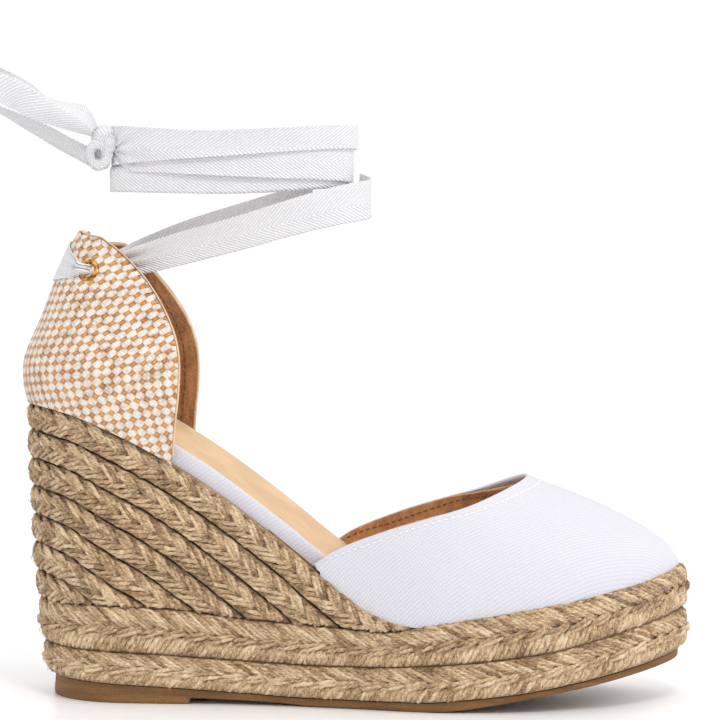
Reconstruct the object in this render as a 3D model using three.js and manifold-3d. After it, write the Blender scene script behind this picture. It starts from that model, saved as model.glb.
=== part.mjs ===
// Espadrille wedge sandal for the right foot: jute-wrapped wedge and platform, canvas toe,
// open waist, woven heel counter and an ankle ribbon through two eyelets.
// Millimetres. +X runs to the toe, +Y to the inner (medial) side of the foot, +Z up.
// The origin is on the ground at the middle of the heel's flat underside.
import * as THREE from 'three';
import { mergeVertices } from 'three/addons/utils/BufferGeometryUtils.js';
import Module from 'manifold-3d';

const wasm = await Module();
wasm.setup();

// Driving dimensions.
const GAP = 0.3;
const SOLE_LENGTH = 242;
const TOE_TIP = 242.5;
const HEEL_ROUND = 34;
const TOE_ROUND = 68;
const RUBBER_INSET = 3.5;
const HEEL_BREAST = 56;
const BRAID_DEPTH = 5.5;
const BRAID_ROUNDING = 1.2;
const ROW_PITCH = 10.3;
const ROW_GAP = 0.9;
const ROW_COUNT = 7;
const BOARD_THICKNESS = 5.6;
const RAND_THICKNESS = 1.1;
const RAND_LIP = 1.4;
const SOCK_THICKNESS = 1.1;
const UPPER_INSET = 3;
const UPPER_SEAT = 0.9;
const CANVAS = 1.2;
const LINING = 1;
const STIFFENER = 0.9;
const COUNTER_TOP = 169.5;
const LAYER_GAP = 0.6;
const VAMP_BACK = 110;
const THROAT = 184;
const EYELET_X = 25.8;
const EYELET_Z = 156.8;
const EYELET_BORE = 2.5;
const EYELET_WALL = 0.4;
const EYELET_FLANGE = 4;
const RIBBON_WIDTH = 15.6;
const RIBBON = 0.9;
const LOOP_CENTRE = 77;
const HEEL_MIDDLE = [33, -1];
const THINNEST_ROW = 2.2;
const COUNTER_FALL = 1.5;
const COUNTER_FOOT = 100;
const BARREL_DEPTH = 5;
const FLANGE_UNDERSIDE = 0.4;
const FLANGE_EDGE = 0.8;
const FLANGE_TOP = 1.3;
const EYELET_BEVEL = 0.5;
const WASHER_RIM = 0.2;
const WASHER = [-4.9, -4.45];
const STATION_STEP = 0.005;
const BREAST_STEP = 0.001;
const RAND_INSET = { heel: 5.5, underToe: 2.5, tip: 4 };
const RAND_TIP_START = 205;
const BOARD_THINNING = 2.6;
const TOPLINE_BLEND = 150;
const RIBBON_CLEARANCE = 1.4;
const HEEL_LOOP_Z = 159;
const GATHERED_WIDTH = 4.2;
const THREADED_WIDTH = 3.6;
const KNOT_CENTRE = [27.6, -2, 201.3];
const KNOT_RADII = [3.6, 5, 7.6];
const RIBBON_STEPS = { heel: 56, lateral: 22, medial: 18, tail: 14, wrap: 28 };
const TURNED_STEPS = 24;
const HOLE_STEPS = 20;
const HOLE_LENGTH = 16;

const LATERAL = -1;
const MEDIAL = 1;

// A smooth curve z(x) or w(z) through a few points.
function profile(points) {
  const last = points.length - 1;
  const slopes = points.map((_, i) => {
    const a = points[Math.max(i - 1, 0)];
    const b = points[Math.min(i + 1, last)];
    return (b[1] - a[1]) / (b[0] - a[0]);
  });
  return (x) => {
    if (x <= points[0][0]) return points[0][1];
    if (x >= points[last][0]) return points[last][1];
    const i = points.findIndex((p) => p[0] > x) - 1;
    const step = points[i + 1][0] - points[i][0];
    const q = (x - points[i][0]) / step;
    const rise = points[i + 1][1] - points[i][1];
    const a = slopes[i] * step - rise;
    const b = rise - slopes[i + 1] * step;
    return points[i][1] + rise * q + q * (1 - q) * (a * (1 - q) + b * q);
  };
}

const mix = (a, b, q) => a + (b - a) * q;
const smooth = (x, from, to) => THREE.MathUtils.smoothstep(x, from, to);
const roundEnd = (q) => Math.sqrt(1 - (1 - THREE.MathUtils.clamp(q, 0, 1)) ** 2);

// Side profile of the sole, heel to toe.
const treadLine = profile([[0, 2.2], [60, 2.2], [95, 1.1], [114, 0], [150, 0], [163, 0.9], [178, 3.2],
  [197, 6.6], [217, 10.4], [242, 16]]);
const rubberTop = profile([[0, 8.3], [42, 6.8], [82, 4.6], [105, 3.5], [149, 3.6], [162, 4.6], [184, 7],
  [204, 10.4], [226, 15.2], [242, 19.4]]);
const braidLine = profile([[0, 19.8], [50, 18.3], [82, 16.4], [117, 15.4], [149, 16.8], [190, 21],
  [211, 25.2], [242, 33.5]]);
const platformTop = profile([[0, 35.8], [54, 35], [82, 31.8], [114, 29.6], [138, 28.8], [150, 31.2],
  [162, 33.3], [184, 37], [201, 39.8], [217, 42.8], [230, 45.7], [242, 49.2]]);
const deckLine = profile([[0, 108], [10, 107.6], [24, 104.6], [43, 96.2], [58.5, 87.8], [75.6, 76.7],
  [98.7, 59.5], [109, 51], [121.5, 41.2], [130, 35.8], [140, 32.3], [150, 31.3], [162, 33.3],
  [184, 37], [201, 39.8], [217, 42.8], [230, 45.7], [242, 49.2]]);

// Plan of the sole: a bent centre line with a half width to each side and round ends.
const centreLine = profile([[0, 0], [140, 0], [200, 3], [242, 8]]);
const lateralHalf = profile([[0, 32], [45, 31.5], [85, 31], [118, 35], [155, 43], [180, 43.5], [242, 42]]);
const medialHalf = profile([[0, 31], [50, 30.5], [95, 30], [130, 35], [168, 42.5], [195, 42], [242, 38]]);
const backLine = profile([[0, 6.5], [8, 7.2], [20, 5.6], [36, 3.9], [50, 2.4], [70, 1.6], [90, 0.6],
  [108, 0.6]]);

// Heel counter: back line, half width and front edge, each by height.
const counterBack = profile([[88, 2.6], [107.8, 1.6], [115, 0.2], [124, 0.7], [139, 7], [152, 12],
  [166, 18.4], [170, 21]]);
const counterRound = profile([[108, 34], [140, 27], [170, 20]]);
const counterHalf = profile([[88, 31.3], [108, 31.3], [122, 30], [137, 26], [150, 21], [162, 16.5],
  [170, 13]]);
const counterFront = profile([[88, 57.6], [100.5, 58.3], [115.5, 59.3], [127.7, 59], [138.8, 55.4],
  [152.4, 47.8], [162, 40.1], [167.5, 33], [169.5, 26]]);

// Toe: crest height above ground and topline height, by distance along the shoe.
const crestLine = profile([[100, 118], [118, 111], [137, 102], [152, 95.5], [165, 89.4], [184, 80.6],
  [197, 75.8], [211, 70], [222, 64.4], [230, 59.6], [236, 54.4], [239.5, 49.4]]);
const toplineHeight = profile([[110, 51.2], [118, 56.6], [137, 64.2], [152, 69], [165, 73], [184, 80.6]]);
const CREST_POWER = 2.3;

const halfWidth = (x, side) => (side === LATERAL ? lateralHalf(x) : medialHalf(x));
const slopeOf = (line, x) => line(x + 0.5) - line(x - 0.5);
const rowPitch = (x) => ROW_PITCH * Math.hypot(1, slopeOf(deckLine, x));
const rowLine = (row) => (x) => deckLine(x) - row * rowPitch(x);

// Distance along the shoe at station t, closer together towards both ends.
const xAt = (t) => SOLE_LENGTH * (1 - Math.cos(Math.PI * t)) / 2;

const stationAt = (x) => Math.acos(1 - 2 * x / SOLE_LENGTH) / Math.PI;

// Point on the sole's outline, t = 0 at the back of the heel and 1 at the toe tip.
function solePoint(t, side, inset, line, rise = 0) {
  const along = xAt(t);
  const heel = backLine(line(along) + rise) + inset;
  const toe = TOE_TIP - inset;
  const x = heel + (toe - heel) * along / SOLE_LENGTH;
  const heelRound = roundEnd((x - heel) / (HEEL_ROUND - inset));
  const toeRound = roundEnd((toe - x) / (TOE_ROUND - inset));
  const y = centreLine(x) + side * (halfWidth(x, side) - inset) * heelRound * toeRound;
  return new THREE.Vector3(x, y, line(x) + rise);
}

// Half width of the sole at x, measured from its centre line.
function soleHalf(x, side, inset) {
  const heelRound = roundEnd((x - backLine(deckLine(x)) - inset) / (HEEL_ROUND - inset));
  const toeRound = roundEnd((TOE_TIP - inset - x) / (TOE_ROUND - inset));
  return (halfWidth(x, side) - inset) * heelRound * toeRound;
}

// Triangles over an end ring, as a fan or, for a thin strip folded on itself, as a ladder.
function fanCap(count) {
  const faces = [];
  for (let j = 1; j < count - 1; j += 1) faces.push([0, j, j + 1]);
  return faces;
}

function ladderCap(count) {
  const faces = [];
  for (let j = 0; j < count / 2 - 1; j += 1) {
    const far = count - 1 - j;
    faces.push([j, j + 1, far], [j + 1, far - 1, far]);
  }
  return faces;
}

// Closed body through rings with equal point counts. Without a cap the last ring joins the first.
function loft(rings, cap) {
  const count = rings[0].length;
  const index = [];
  const spans = cap ? rings.length - 1 : rings.length;
  for (let i = 0; i < spans; i += 1) {
    const a = i * count;
    const b = ((i + 1) % rings.length) * count;
    for (let j = 0; j < count; j += 1) {
      const k = (j + 1) % count;
      index.push(a + j, b + j, b + k, a + j, b + k, a + k);
    }
  }
  if (cap) {
    const end = (rings.length - 1) * count;
    for (const [a, b, c] of cap(count)) index.push(a, b, c, end + a, end + c, end + b);
  }
  const positions = rings.flat().flatMap((p) => [p.x, p.y, p.z]);
  const geometry = new THREE.BufferGeometry();
  geometry.setAttribute('position', new THREE.Float32BufferAttribute(positions, 3));
  geometry.setIndex(index);
  return facedOut(mergeVertices(geometry, 1e-4));
}

// Turns a closed body's faces outward if they face in.
function facedOut(geometry) {
  const at = geometry.getAttribute('position');
  const [a, b, c] = [new THREE.Vector3(), new THREE.Vector3(), new THREE.Vector3()];
  let volume = 0;
  for (let i = 0; i < geometry.index.count; i += 3) {
    a.fromBufferAttribute(at, geometry.index.getX(i));
    b.fromBufferAttribute(at, geometry.index.getX(i + 1));
    c.fromBufferAttribute(at, geometry.index.getX(i + 2));
    volume += a.dot(b.cross(c));
  }
  if (volume < 0) geometry.setIndex(Array.from(geometry.index.array).reverse());
  return geometry;
}

// Shell between an outer and an inner sheet, both given as point(u, v) with u and v from 0 to 1.
function shell(outer, inner, across, up) {
  const rings = [];
  for (let i = 0; i <= across; i += 1) {
    const ring = [];
    for (let j = 0; j <= up; j += 1) ring.push(outer(i / across, j / up));
    for (let j = up; j >= 0; j -= 1) ring.push(inner(i / across, j / up));
    rings.push(ring);
  }
  return loft(rings, ladderCap);
}

function solid(geometry) {
  const mesh = new wasm.Mesh({
    numProp: 3,
    vertProperties: new Float32Array(geometry.getAttribute('position').array),
    triVerts: new Uint32Array(geometry.index.array),
  });
  return new wasm.Manifold(mesh);
}

// Cuts one closed geometry out of another.
function cut(geometry, tools) {
  let body = solid(geometry);
  for (const tool of tools) body = body.subtract(solid(tool));
  const mesh = body.getMesh();
  const result = new THREE.BufferGeometry();
  result.setAttribute('position', new THREE.BufferAttribute(mesh.vertProperties, 3));
  result.setIndex(new THREE.BufferAttribute(mesh.triVerts, 1));
  return result;
}

// Stations along one side of the outline, shared by all layers so that their facets lie parallel.
const SOLE_STATIONS = 24;
const FIRST_T = 0.02;

function stationsTo(end = 1 - FIRST_T, first = FIRST_T) {
  const stations = [first];
  for (let i = 1; i / SOLE_STATIONS < end - STATION_STEP; i += 1) stations.push(i / SOLE_STATIONS);
  return [...stations, end];
}

// Rings all round the outline, from the heel along the lateral side and back along the medial one.
function roundTheSole(ring) {
  const stations = stationsTo(1, 0);
  const lateral = stations.map((t) => ring(t, LATERAL));
  const medial = stations.slice(1, -1).reverse().map((t) => ring(t, MEDIAL));
  return loft([...lateral, ...medial]);
}

// Flat layer filling the outline between two height lines.
function layer(inset, low, high, stations) {
  const rings = stations.map((t) => [
    solePoint(t, LATERAL, inset(t), low),
    solePoint(t, MEDIAL, inset(t), low),
    solePoint(t, MEDIAL, inset(t), high),
    solePoint(t, LATERAL, inset(t), high),
  ]);
  return loft(rings, fanCap);
}

// Section of a plait lying on the outline: rounded outside, flat against the core.
function plaitRing(t, side, low, high) {
  const between = (q) => (x) => mix(low(x), high(x), q);
  const at = (q, inset) => solePoint(t, side, inset, between(q));
  return [at(0, BRAID_DEPTH), at(0, BRAID_ROUNDING), at(0.25, 0), at(0.75, 0), at(1, BRAID_ROUNDING),
    at(1, BRAID_DEPTH)];
}

// Plait all round the platform.
function platformPlait(low, high) {
  return roundTheSole((t, side) => plaitRing(t, side, low, high));
}

// Station at which a wedge row has sunk into the platform.
function rowEnd(row) {
  let t = FIRST_T;
  while (rowLine(row)(xAt(t)) - platformTop(xAt(t)) > THINNEST_ROW) t += STATION_STEP;
  return t;
}

// U-shaped plait round the heel, from the platform on one side to the platform on the other.
function wedgeRow(row) {
  const high = (x) => rowLine(row)(x) - ROW_GAP / 2;
  const low = (x) => Math.max(rowLine(row + 1)(x) + ROW_GAP / 2, platformTop(x) + ROW_GAP / 2);
  const stations = stationsTo(rowEnd(row), 0);
  const medial = stations.map((t) => plaitRing(t, MEDIAL, low, high)).reverse();
  const lateral = stations.slice(1).map((t) => plaitRing(t, LATERAL, low, high));
  return loft([...medial, ...lateral], fanCap);
}

const raised = (line, rise) => (x) => line(x) + rise;

function rubberOutsole() {
  const breast = stationAt(HEEL_BREAST);
  const stations = [...stationsTo(), breast - BREAST_STEP, breast + BREAST_STEP].sort((a, b) => a - b);
  const ground = (x) => (x < HEEL_BREAST ? 0 : Math.max(treadLine(x), 0));
  return layer(() => RUBBER_INSET, ground, raised(rubberTop, -GAP), stations);
}

function platformCore() {
  const inset = BRAID_DEPTH + GAP;
  return layer(() => inset, rubberTop, raised(platformTop, -GAP), stationsTo());
}

function wedgeCore() {
  const inset = BRAID_DEPTH + GAP;
  return layer(() => inset, platformTop, deckLine, stationsTo(rowEnd(0)));
}

// The footbed narrows and thins where the toe canvas comes down beside it.
const underToe = (x) => smooth(x, 84, 106);
const randInset = (t) => RAND_INSET.heel + RAND_INSET.underToe * underToe(xAt(t))
  + RAND_INSET.tip * smooth(xAt(t), RAND_TIP_START, SOLE_LENGTH);
const boardTop = (x) => deckLine(x) + BOARD_THICKNESS - BOARD_THINNING * smooth(x, 112, 150);

function insoleBoard() {
  const inset = (t) => randInset(t) + RAND_THICKNESS + GAP;
  return layer(inset, raised(deckLine, GAP), boardTop, stationsTo());
}

function insoleSock() {
  const inset = (t) => randInset(t) + RAND_THICKNESS + GAP;
  return layer(inset, raised(boardTop, GAP), raised(boardTop, GAP + SOCK_THICKNESS), stationsTo());
}

// Canvas strip round the edge of the footbed.
function footbedRand() {
  const ring = (t, side) => {
    const near = randInset(t);
    const far = near + RAND_THICKNESS;
    return [solePoint(t, side, far, deckLine, GAP), solePoint(t, side, near, deckLine, GAP),
      solePoint(t, side, near, boardTop, RAND_LIP), solePoint(t, side, far, boardTop, RAND_LIP)];
  };
  return roundTheSole(ring);
}

// Point on the heel counter at distance x and height z, a depth inside its outer face.
function counterY(x, z, depth) {
  const q = (x - counterBack(z) - depth) / (counterRound(z) - depth);
  return (counterHalf(z) - depth) * roundEnd(q);
}

const COUNTER_ROWS = 9;
const COUNTER_COLUMNS = 24;
const HEEL_STIFFENER_ROWS = 5;

// u runs from the lateral front edge round the back to the medial one, v from the sole to the top.
function counterPoint(depth, share) {
  return (u, v) => {
    const s = Math.abs(2 * u - 1);
    const side = u < 0.5 ? LATERAL : MEDIAL;
    const along = 1 - Math.cos(Math.PI * s / 2);
    const xAtHeight = (z) => mix(counterBack(z) + depth, counterFront(z), along);
    const nearDeck = deckLine(mix(counterBack(COUNTER_FOOT), counterFront(COUNTER_FOOT), along));
    const low = deckLine(xAtHeight(nearDeck)) + UPPER_SEAT;
    const z = mix(low, COUNTER_TOP - COUNTER_FALL * s, v * share);
    const x = xAtHeight(z);
    return new THREE.Vector3(x, side * counterY(x, z, depth), z);
  };
}

function counterShell(depth, thickness, rows = COUNTER_ROWS) {
  const share = rows / COUNTER_ROWS;
  const inner = counterPoint(depth + thickness, share);
  return shell(counterPoint(depth, share), inner, COUNTER_COLUMNS, rows);
}

// Frame of an eyelet: its centre on the counter's outer face and the outward normal.
function eyeletFrame(side) {
  const y = (x, z) => counterY(x, z, 0);
  const centre = new THREE.Vector3(EYELET_X, side * y(EYELET_X, EYELET_Z), EYELET_Z);
  const dx = y(EYELET_X + 1, EYELET_Z) - y(EYELET_X - 1, EYELET_Z);
  const dz = y(EYELET_X, EYELET_Z + 1) - y(EYELET_X, EYELET_Z - 1);
  const normal = new THREE.Vector3(-dx / 2, side, -dz / 2).normalize();
  return { centre, normal };
}

// Turns a shape whose axis is Y to the eyelet's own axis.
function onEyelet(geometry, side) {
  const { centre, normal } = eyeletFrame(side);
  const turn = new THREE.Quaternion().setFromUnitVectors(new THREE.Vector3(0, 1, 0), normal);
  return geometry.applyQuaternion(turn).translate(centre.x, centre.y, centre.z);
}

function bare(geometry) {
  geometry.deleteAttribute('normal');
  geometry.deleteAttribute('uv');
  return mergeVertices(geometry, 1e-4);
}

function eyeletHole(side) {
  const radius = EYELET_BORE + EYELET_WALL + GAP;
  return onEyelet(bare(new THREE.CylinderGeometry(radius, radius, HOLE_LENGTH, HOLE_STEPS)), side);
}

// Ring of rectangular section, radius inner to outer, height low to high.
function ringOf(inner, outer, low, high) {
  const section = [[inner, low], [outer, low], [outer, high], [inner, high], [inner, low]];
  const geometry = new THREE.LatheGeometry(section.map(([r, y]) => new THREE.Vector2(r, y)), TURNED_STEPS);
  return facedOut(bare(geometry));
}

// Eyelet with its barrel through all the layers and a rounded flange outside.
function eyelet(side) {
  const barrel = EYELET_BORE + EYELET_WALL;
  const section = [[EYELET_BORE, -BARREL_DEPTH], [barrel, -BARREL_DEPTH], [barrel, FLANGE_UNDERSIDE],
    [EYELET_FLANGE, FLANGE_UNDERSIDE], [EYELET_FLANGE, FLANGE_EDGE],
    [EYELET_FLANGE - EYELET_BEVEL, FLANGE_TOP], [barrel, FLANGE_TOP], [EYELET_BORE, FLANGE_EDGE],
    [EYELET_BORE, -BARREL_DEPTH]];
  const geometry = new THREE.LatheGeometry(section.map(([r, y]) => new THREE.Vector2(r, y)), TURNED_STEPS);
  return onEyelet(facedOut(bare(geometry)), side);
}

function eyeletWasher(side) {
  const inner = EYELET_BORE + EYELET_WALL + GAP;
  return onEyelet(ringOf(inner, EYELET_FLANGE + WASHER_RIM, ...WASHER), side);
}

// Height of the toe cap's surface over a point of the plan.
function toeHeight(x, y, inset, depth) {
  const offset = y - centreLine(x);
  const half = Math.max(soleHalf(x, offset < 0 ? LATERAL : MEDIAL, inset), 0.01);
  const eta = Math.min(Math.abs(offset) / half, 1);
  const crest = Math.max(crestLine(x) - depth - deckLine(x), 0);
  return deckLine(x) + crest * (1 - eta ** CREST_POWER) ** (1 / CREST_POWER);
}

// Plan offset at which the toe cap reaches the topline.
function toplineOffset(x, side, inset, depth) {
  const crest = crestLine(x) - depth - deckLine(x);
  const height = toplineHeight(x) - depth * smooth(x, TOPLINE_BLEND, THROAT) - deckLine(x);
  const share = THREE.MathUtils.clamp(height / crest, 0, 1);
  return side * soleHalf(x, side, inset) * (1 - share ** CREST_POWER) ** (1 / CREST_POWER);
}

const VAMP_ROWS = 8;
const VAMP_COLUMNS = 30;
const TOE_STIFFENER_ROWS = 4;

// u runs from the lateral corner round the toe to the medial corner, v from the sole up.
function vampPoint(depth, share) {
  const inset = UPPER_INSET + depth;
  const cornerT = stationAt(VAMP_BACK);
  return (u, v) => {
    const s = Math.abs(2 * u - 1);
    const side = u < 0.5 ? LATERAL : MEDIAL;
    const base = solePoint(mix(1, cornerT, s), side, inset, deckLine, UPPER_SEAT);
    const topX = mix(VAMP_BACK, THROAT, Math.cos(Math.PI * s / 2));
    const topY = centreLine(topX) + toplineOffset(topX, side, inset, depth);
    const q = 1 - Math.cos(Math.PI / 2 * v * share);
    const x = mix(base.x, topX, q);
    const y = mix(base.y, topY, q);
    return new THREE.Vector3(x, y, Math.max(toeHeight(x, y, inset, depth), deckLine(x)) + UPPER_SEAT);
  };
}

function vampShell(depth, thickness, rows = VAMP_ROWS) {
  const share = rows / VAMP_ROWS;
  return shell(vampPoint(depth, share), vampPoint(depth + thickness, share), VAMP_COLUMNS, rows);
}

// Flat band along a route. Each stop gives its centre, the direction across the band and the width.
function band(stops, steps) {
  const centre = new THREE.CatmullRomCurve3(stops.map((s) => new THREE.Vector3(...s.at)));
  const across = new THREE.CatmullRomCurve3(stops.map((s) => new THREE.Vector3(...s.across)));
  const widths = new THREE.CatmullRomCurve3(stops.map((s) => new THREE.Vector3(s.width, 0, 0)));
  const rings = [];
  for (let i = 0; i <= steps; i += 1) {
    const q = i / steps;
    const along = centre.getTangent(q);
    const side = across.getPoint(q);
    side.addScaledVector(along, -side.dot(along)).normalize();
    const face = new THREE.Vector3().crossVectors(side, along);
    const half = widths.getPoint(q).x / 2;
    const corner = (a, b) => centre.getPoint(q).addScaledVector(side, a * half)
      .addScaledVector(face, b * RIBBON / 2);
    rings.push([corner(-1, -1), corner(1, -1), corner(1, 1), corner(-1, 1)]);
  }
  return loft(rings, fanCap);
}

// Flattened ring of ribbon round the ankle. Its lower and upper edges are given along x for the
// near side, and the far side hangs lower by drop.
function wrap({ reach, half, bottom, top, drop }) {
  const rings = [];
  for (let i = 0; i < RIBBON_STEPS.wrap; i += 1) {
    const turn = 2 * Math.PI * i / RIBBON_STEPS.wrap;
    const [c, s] = [Math.cos(turn), Math.sin(turn)];
    const facing = new THREE.Vector3(c / reach, -s / half, 0).normalize();
    const x = LOOP_CENTRE + reach * c;
    const fall = drop * (1 - s) / 2;
    const corner = (z, out) => new THREE.Vector3(x, -half * s, z - fall)
      .addScaledVector(facing, out * RIBBON / 2);
    rings.push([corner(bottom(x), -1), corner(top(x), -1), corner(top(x), 1), corner(bottom(x), 1)]);
  }
  return loft(rings);
}

const WRAPS = {
  ribbon_wrap_upper: {
    reach: 45,
    half: 15.5,
    bottom: profile([[32, 196.5], [77, 199.6], [122, 203.6]]),
    top: profile([[32, 210.8], [70, 208.5], [122, 211.8]]),
    drop: 5,
  },
  ribbon_wrap_middle: {
    reach: 43.4,
    half: 13.9,
    bottom: profile([[33, 194], [77, 191.9], [121, 190.8]]),
    top: profile([[33, 208], [77, 206.5], [121, 205.2]]),
    drop: 4,
  },
  ribbon_wrap_lower: {
    reach: 41.8,
    half: 12.3,
    bottom: profile([[35, 185.7], [77, 185.5], [120, 188.2]]),
    top: profile([[35, 201.2], [77, 201], [120, 203.6]]),
    drop: 2,
  },
};

// Ribbon outside the back of the heel, down through an eyelet at each end.
function heelRibbon() {
  const spread = [0.66, 0.44, 0.24, 0.08];
  const stop = (s, side) => {
    const z = mix(HEEL_LOOP_Z, EYELET_Z, s * s);
    const along = 1 - Math.cos(Math.PI * s / 2);
    const xOf = (h) => mix(counterBack(h) - RIBBON_CLEARANCE, EYELET_X, along);
    const at = (h) => new THREE.Vector3(xOf(h), side * counterY(xOf(h), h, -RIBBON_CLEARANCE), h);
    const across = at(z + 3).sub(at(z - 3)).normalize();
    const width = mix(RIBBON_WIDTH, GATHERED_WIDTH, smooth(s, 0.15, 0.7));
    return { at: at(z).toArray(), across: across.toArray(), width };
  };
  const threaded = (side) => {
    const { centre, normal } = eyeletFrame(side);
    const back = new THREE.Vector3(0, 0, 1).cross(normal).multiplyScalar(side).normalize();
    const across = new THREE.Vector3().crossVectors(normal, back).multiplyScalar(side).toArray();
    const places = [[0, -5.5], [0, -1.5], [0.7, 1.4], [3, 2.5]];
    return places.map(([behind, out]) => ({
      at: centre.clone().addScaledVector(normal, out).addScaledVector(back, behind).toArray(),
      across,
      width: THREADED_WIDTH,
    }));
  };
  const lateral = [...threaded(LATERAL), ...spread.map((s) => stop(s, LATERAL))];
  const medial = [...threaded(MEDIAL), ...spread.map((s) => stop(s, MEDIAL))].reverse();
  return band([...lateral, ...medial], RIBBON_STEPS.heel);
}

const UP = [0, 0, 1];

function lateralRun() {
  return band([
    { at: [27.5, -7.2, 157], across: UP, width: 4 },
    { at: [34, -8, 158.2], across: UP, width: 7 },
    { at: [45, -10.4, 161], across: UP, width: 10.5 },
    { at: [60, -14, 165.5], across: UP, width: 11.5 },
    { at: [80, -15.5, 171], across: UP, width: 12 },
    { at: [100, -12.5, 177], across: UP, width: 13 },
    { at: [115, -8, 180.8], across: UP, width: 14 },
    { at: [124, -3, 182.3], across: UP, width: 14 },
    { at: [126.5, 2.5, 183], across: UP, width: 14 },
    { at: [121.5, 8.5, 184.5], across: UP, width: 14 },
  ], RIBBON_STEPS.lateral);
}

function medialRun() {
  return band([
    { at: [27.5, 7.2, 157], across: UP, width: 4 },
    { at: [34, 8, 158.8], across: UP, width: 7 },
    { at: [45, 10.4, 162.5], across: UP, width: 10.5 },
    { at: [60, 13.5, 168], across: UP, width: 11.5 },
    { at: [80, 12, 174.2], across: UP, width: 12 },
    { at: [95, 7.5, 179], across: UP, width: 12 },
    { at: [106, 2.5, 182], across: UP, width: 12 },
  ], RIBBON_STEPS.medial);
}

function ribbonKnot() {
  const knot = new THREE.SphereGeometry(1, 16, 10);
  return bare(knot).scale(...KNOT_RADII).translate(...KNOT_CENTRE);
}

function upperTail() {
  const across = [0.35, 0.6, 0.75];
  return band([
    { at: [24.4, -4, 209.4], across, width: 6.5 },
    { at: [19.3, -5.5, 211.6], across, width: 10 },
    { at: [8.1, -7.5, 214], across, width: 13.5 },
    { at: [-1.8, -8.5, 219.9], across, width: RIBBON_WIDTH },
    { at: [-8.8, -9, 223.7], across, width: RIBBON_WIDTH },
    { at: [-16.3, -9.5, 227.5], across, width: RIBBON_WIDTH },
  ], RIBBON_STEPS.tail);
}

function lowerTail() {
  const across = [0.3, -0.8, 0.55];
  return band([
    { at: [23.2, 1.5, 196.2], across, width: 7 },
    { at: [18.6, 3.2, 198.7], across, width: 9.5 },
    { at: [11.9, 5, 202.5], across, width: 12 },
    { at: [4.7, 6.2, 206.4], across, width: 13.5 },
    { at: [-5, 6.8, 211.4], across, width: 14 },
    { at: [-16.3, 7, 217.4], across, width: 14 },
  ], RIBBON_STEPS.tail);
}

const JUTE = { color: 0xbfa47f, roughness: 0.95, metalness: 0 };
const CANVAS_WHITE = { color: 0xf1f1f5, roughness: 0.9, metalness: 0 };
const RIBBON_WHITE = { color: 0xf4f3f4, roughness: 0.85, metalness: 0 };
const CORK = { color: 0xa97c50, roughness: 0.9, metalness: 0 };
const RUBBER = { color: 0x97703f, roughness: 0.7, metalness: 0 };
const BASKET_WEAVE = { color: 0xe0c8a8, roughness: 0.9, metalness: 0 };
const SUEDE = { color: 0xb9875a, roughness: 0.95, metalness: 0 };
const LEATHER = { color: 0xe2c09a, roughness: 0.6, metalness: 0 };
const BOARD = { color: 0xc9b79b, roughness: 0.95, metalness: 0 };
const GOLD = { color: 0xd2a04c, roughness: 0.25, metalness: 1 };

const sandal = new THREE.Group();

function add(name, geometry, finish) {
  const mesh = new THREE.Mesh(geometry, new THREE.MeshStandardMaterial(finish));
  mesh.name = name;
  sandal.add(mesh);
}

add('rubber_outsole', rubberOutsole(), RUBBER);
add('platform_core', platformCore(), CORK);
add('wedge_core', wedgeCore(), CORK);
add('platform_plait_lower', platformPlait(raised(rubberTop, GAP / 2), raised(braidLine, -GAP / 2)), JUTE);
add('platform_plait_upper', platformPlait(raised(braidLine, GAP / 2), platformTop), JUTE);
for (let row = 0; row < ROW_COUNT; row += 1) add(`wedge_plait_${row + 1}`, wedgeRow(row), JUTE);
add('insole_board', insoleBoard(), BOARD);
add('insole_sock', insoleSock(), LEATHER);
add('footbed_rand', footbedRand(), CANVAS_WHITE);

const STIFFENER_DEPTH = CANVAS + LAYER_GAP;
const LINING_DEPTH = STIFFENER_DEPTH + STIFFENER + LAYER_GAP;
const eyeletHoles = () => [eyeletHole(LATERAL), eyeletHole(MEDIAL)];
add('counter_fabric', cut(counterShell(0, CANVAS), eyeletHoles()), BASKET_WEAVE);
add('heel_stiffener', counterShell(STIFFENER_DEPTH, STIFFENER, HEEL_STIFFENER_ROWS), BOARD);
add('counter_lining', cut(counterShell(LINING_DEPTH, LINING), eyeletHoles()), SUEDE);
add('vamp_canvas', vampShell(0, CANVAS), CANVAS_WHITE);
add('toe_stiffener', vampShell(STIFFENER_DEPTH, STIFFENER, TOE_STIFFENER_ROWS), BOARD);
add('vamp_lining', vampShell(LINING_DEPTH, LINING), SUEDE);

for (const [name, side] of [['lateral', LATERAL], ['medial', MEDIAL]]) {
  add(`${name}_eyelet`, eyelet(side), GOLD);
  add(`${name}_eyelet_washer`, eyeletWasher(side), GOLD);
}

add('ribbon_heel_span', heelRibbon(), RIBBON_WHITE);
add('ribbon_lateral_run', lateralRun(), RIBBON_WHITE);
add('ribbon_medial_run', medialRun(), RIBBON_WHITE);
for (const [name, shape] of Object.entries(WRAPS)) add(name, wrap(shape), RIBBON_WHITE);
add('ribbon_knot', ribbonKnot(), RIBBON_WHITE);
add('ribbon_tail_upper', upperTail(), RIBBON_WHITE);
add('ribbon_tail_lower', lowerTail(), RIBBON_WHITE);

sandal.position.set(-HEEL_MIDDLE[0], -HEEL_MIDDLE[1], 0);

export default sandal;
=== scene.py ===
# Wedge sandal: plaited jute wedge and platform, canvas toe, basket-weave heel counter and an
# ankle ribbon. Shapes are worked out in part millimetres, x to the toe, y to the inner side and
# z up, and Cloth.piece() brings them into the row frame in metres.
import math
import random

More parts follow.
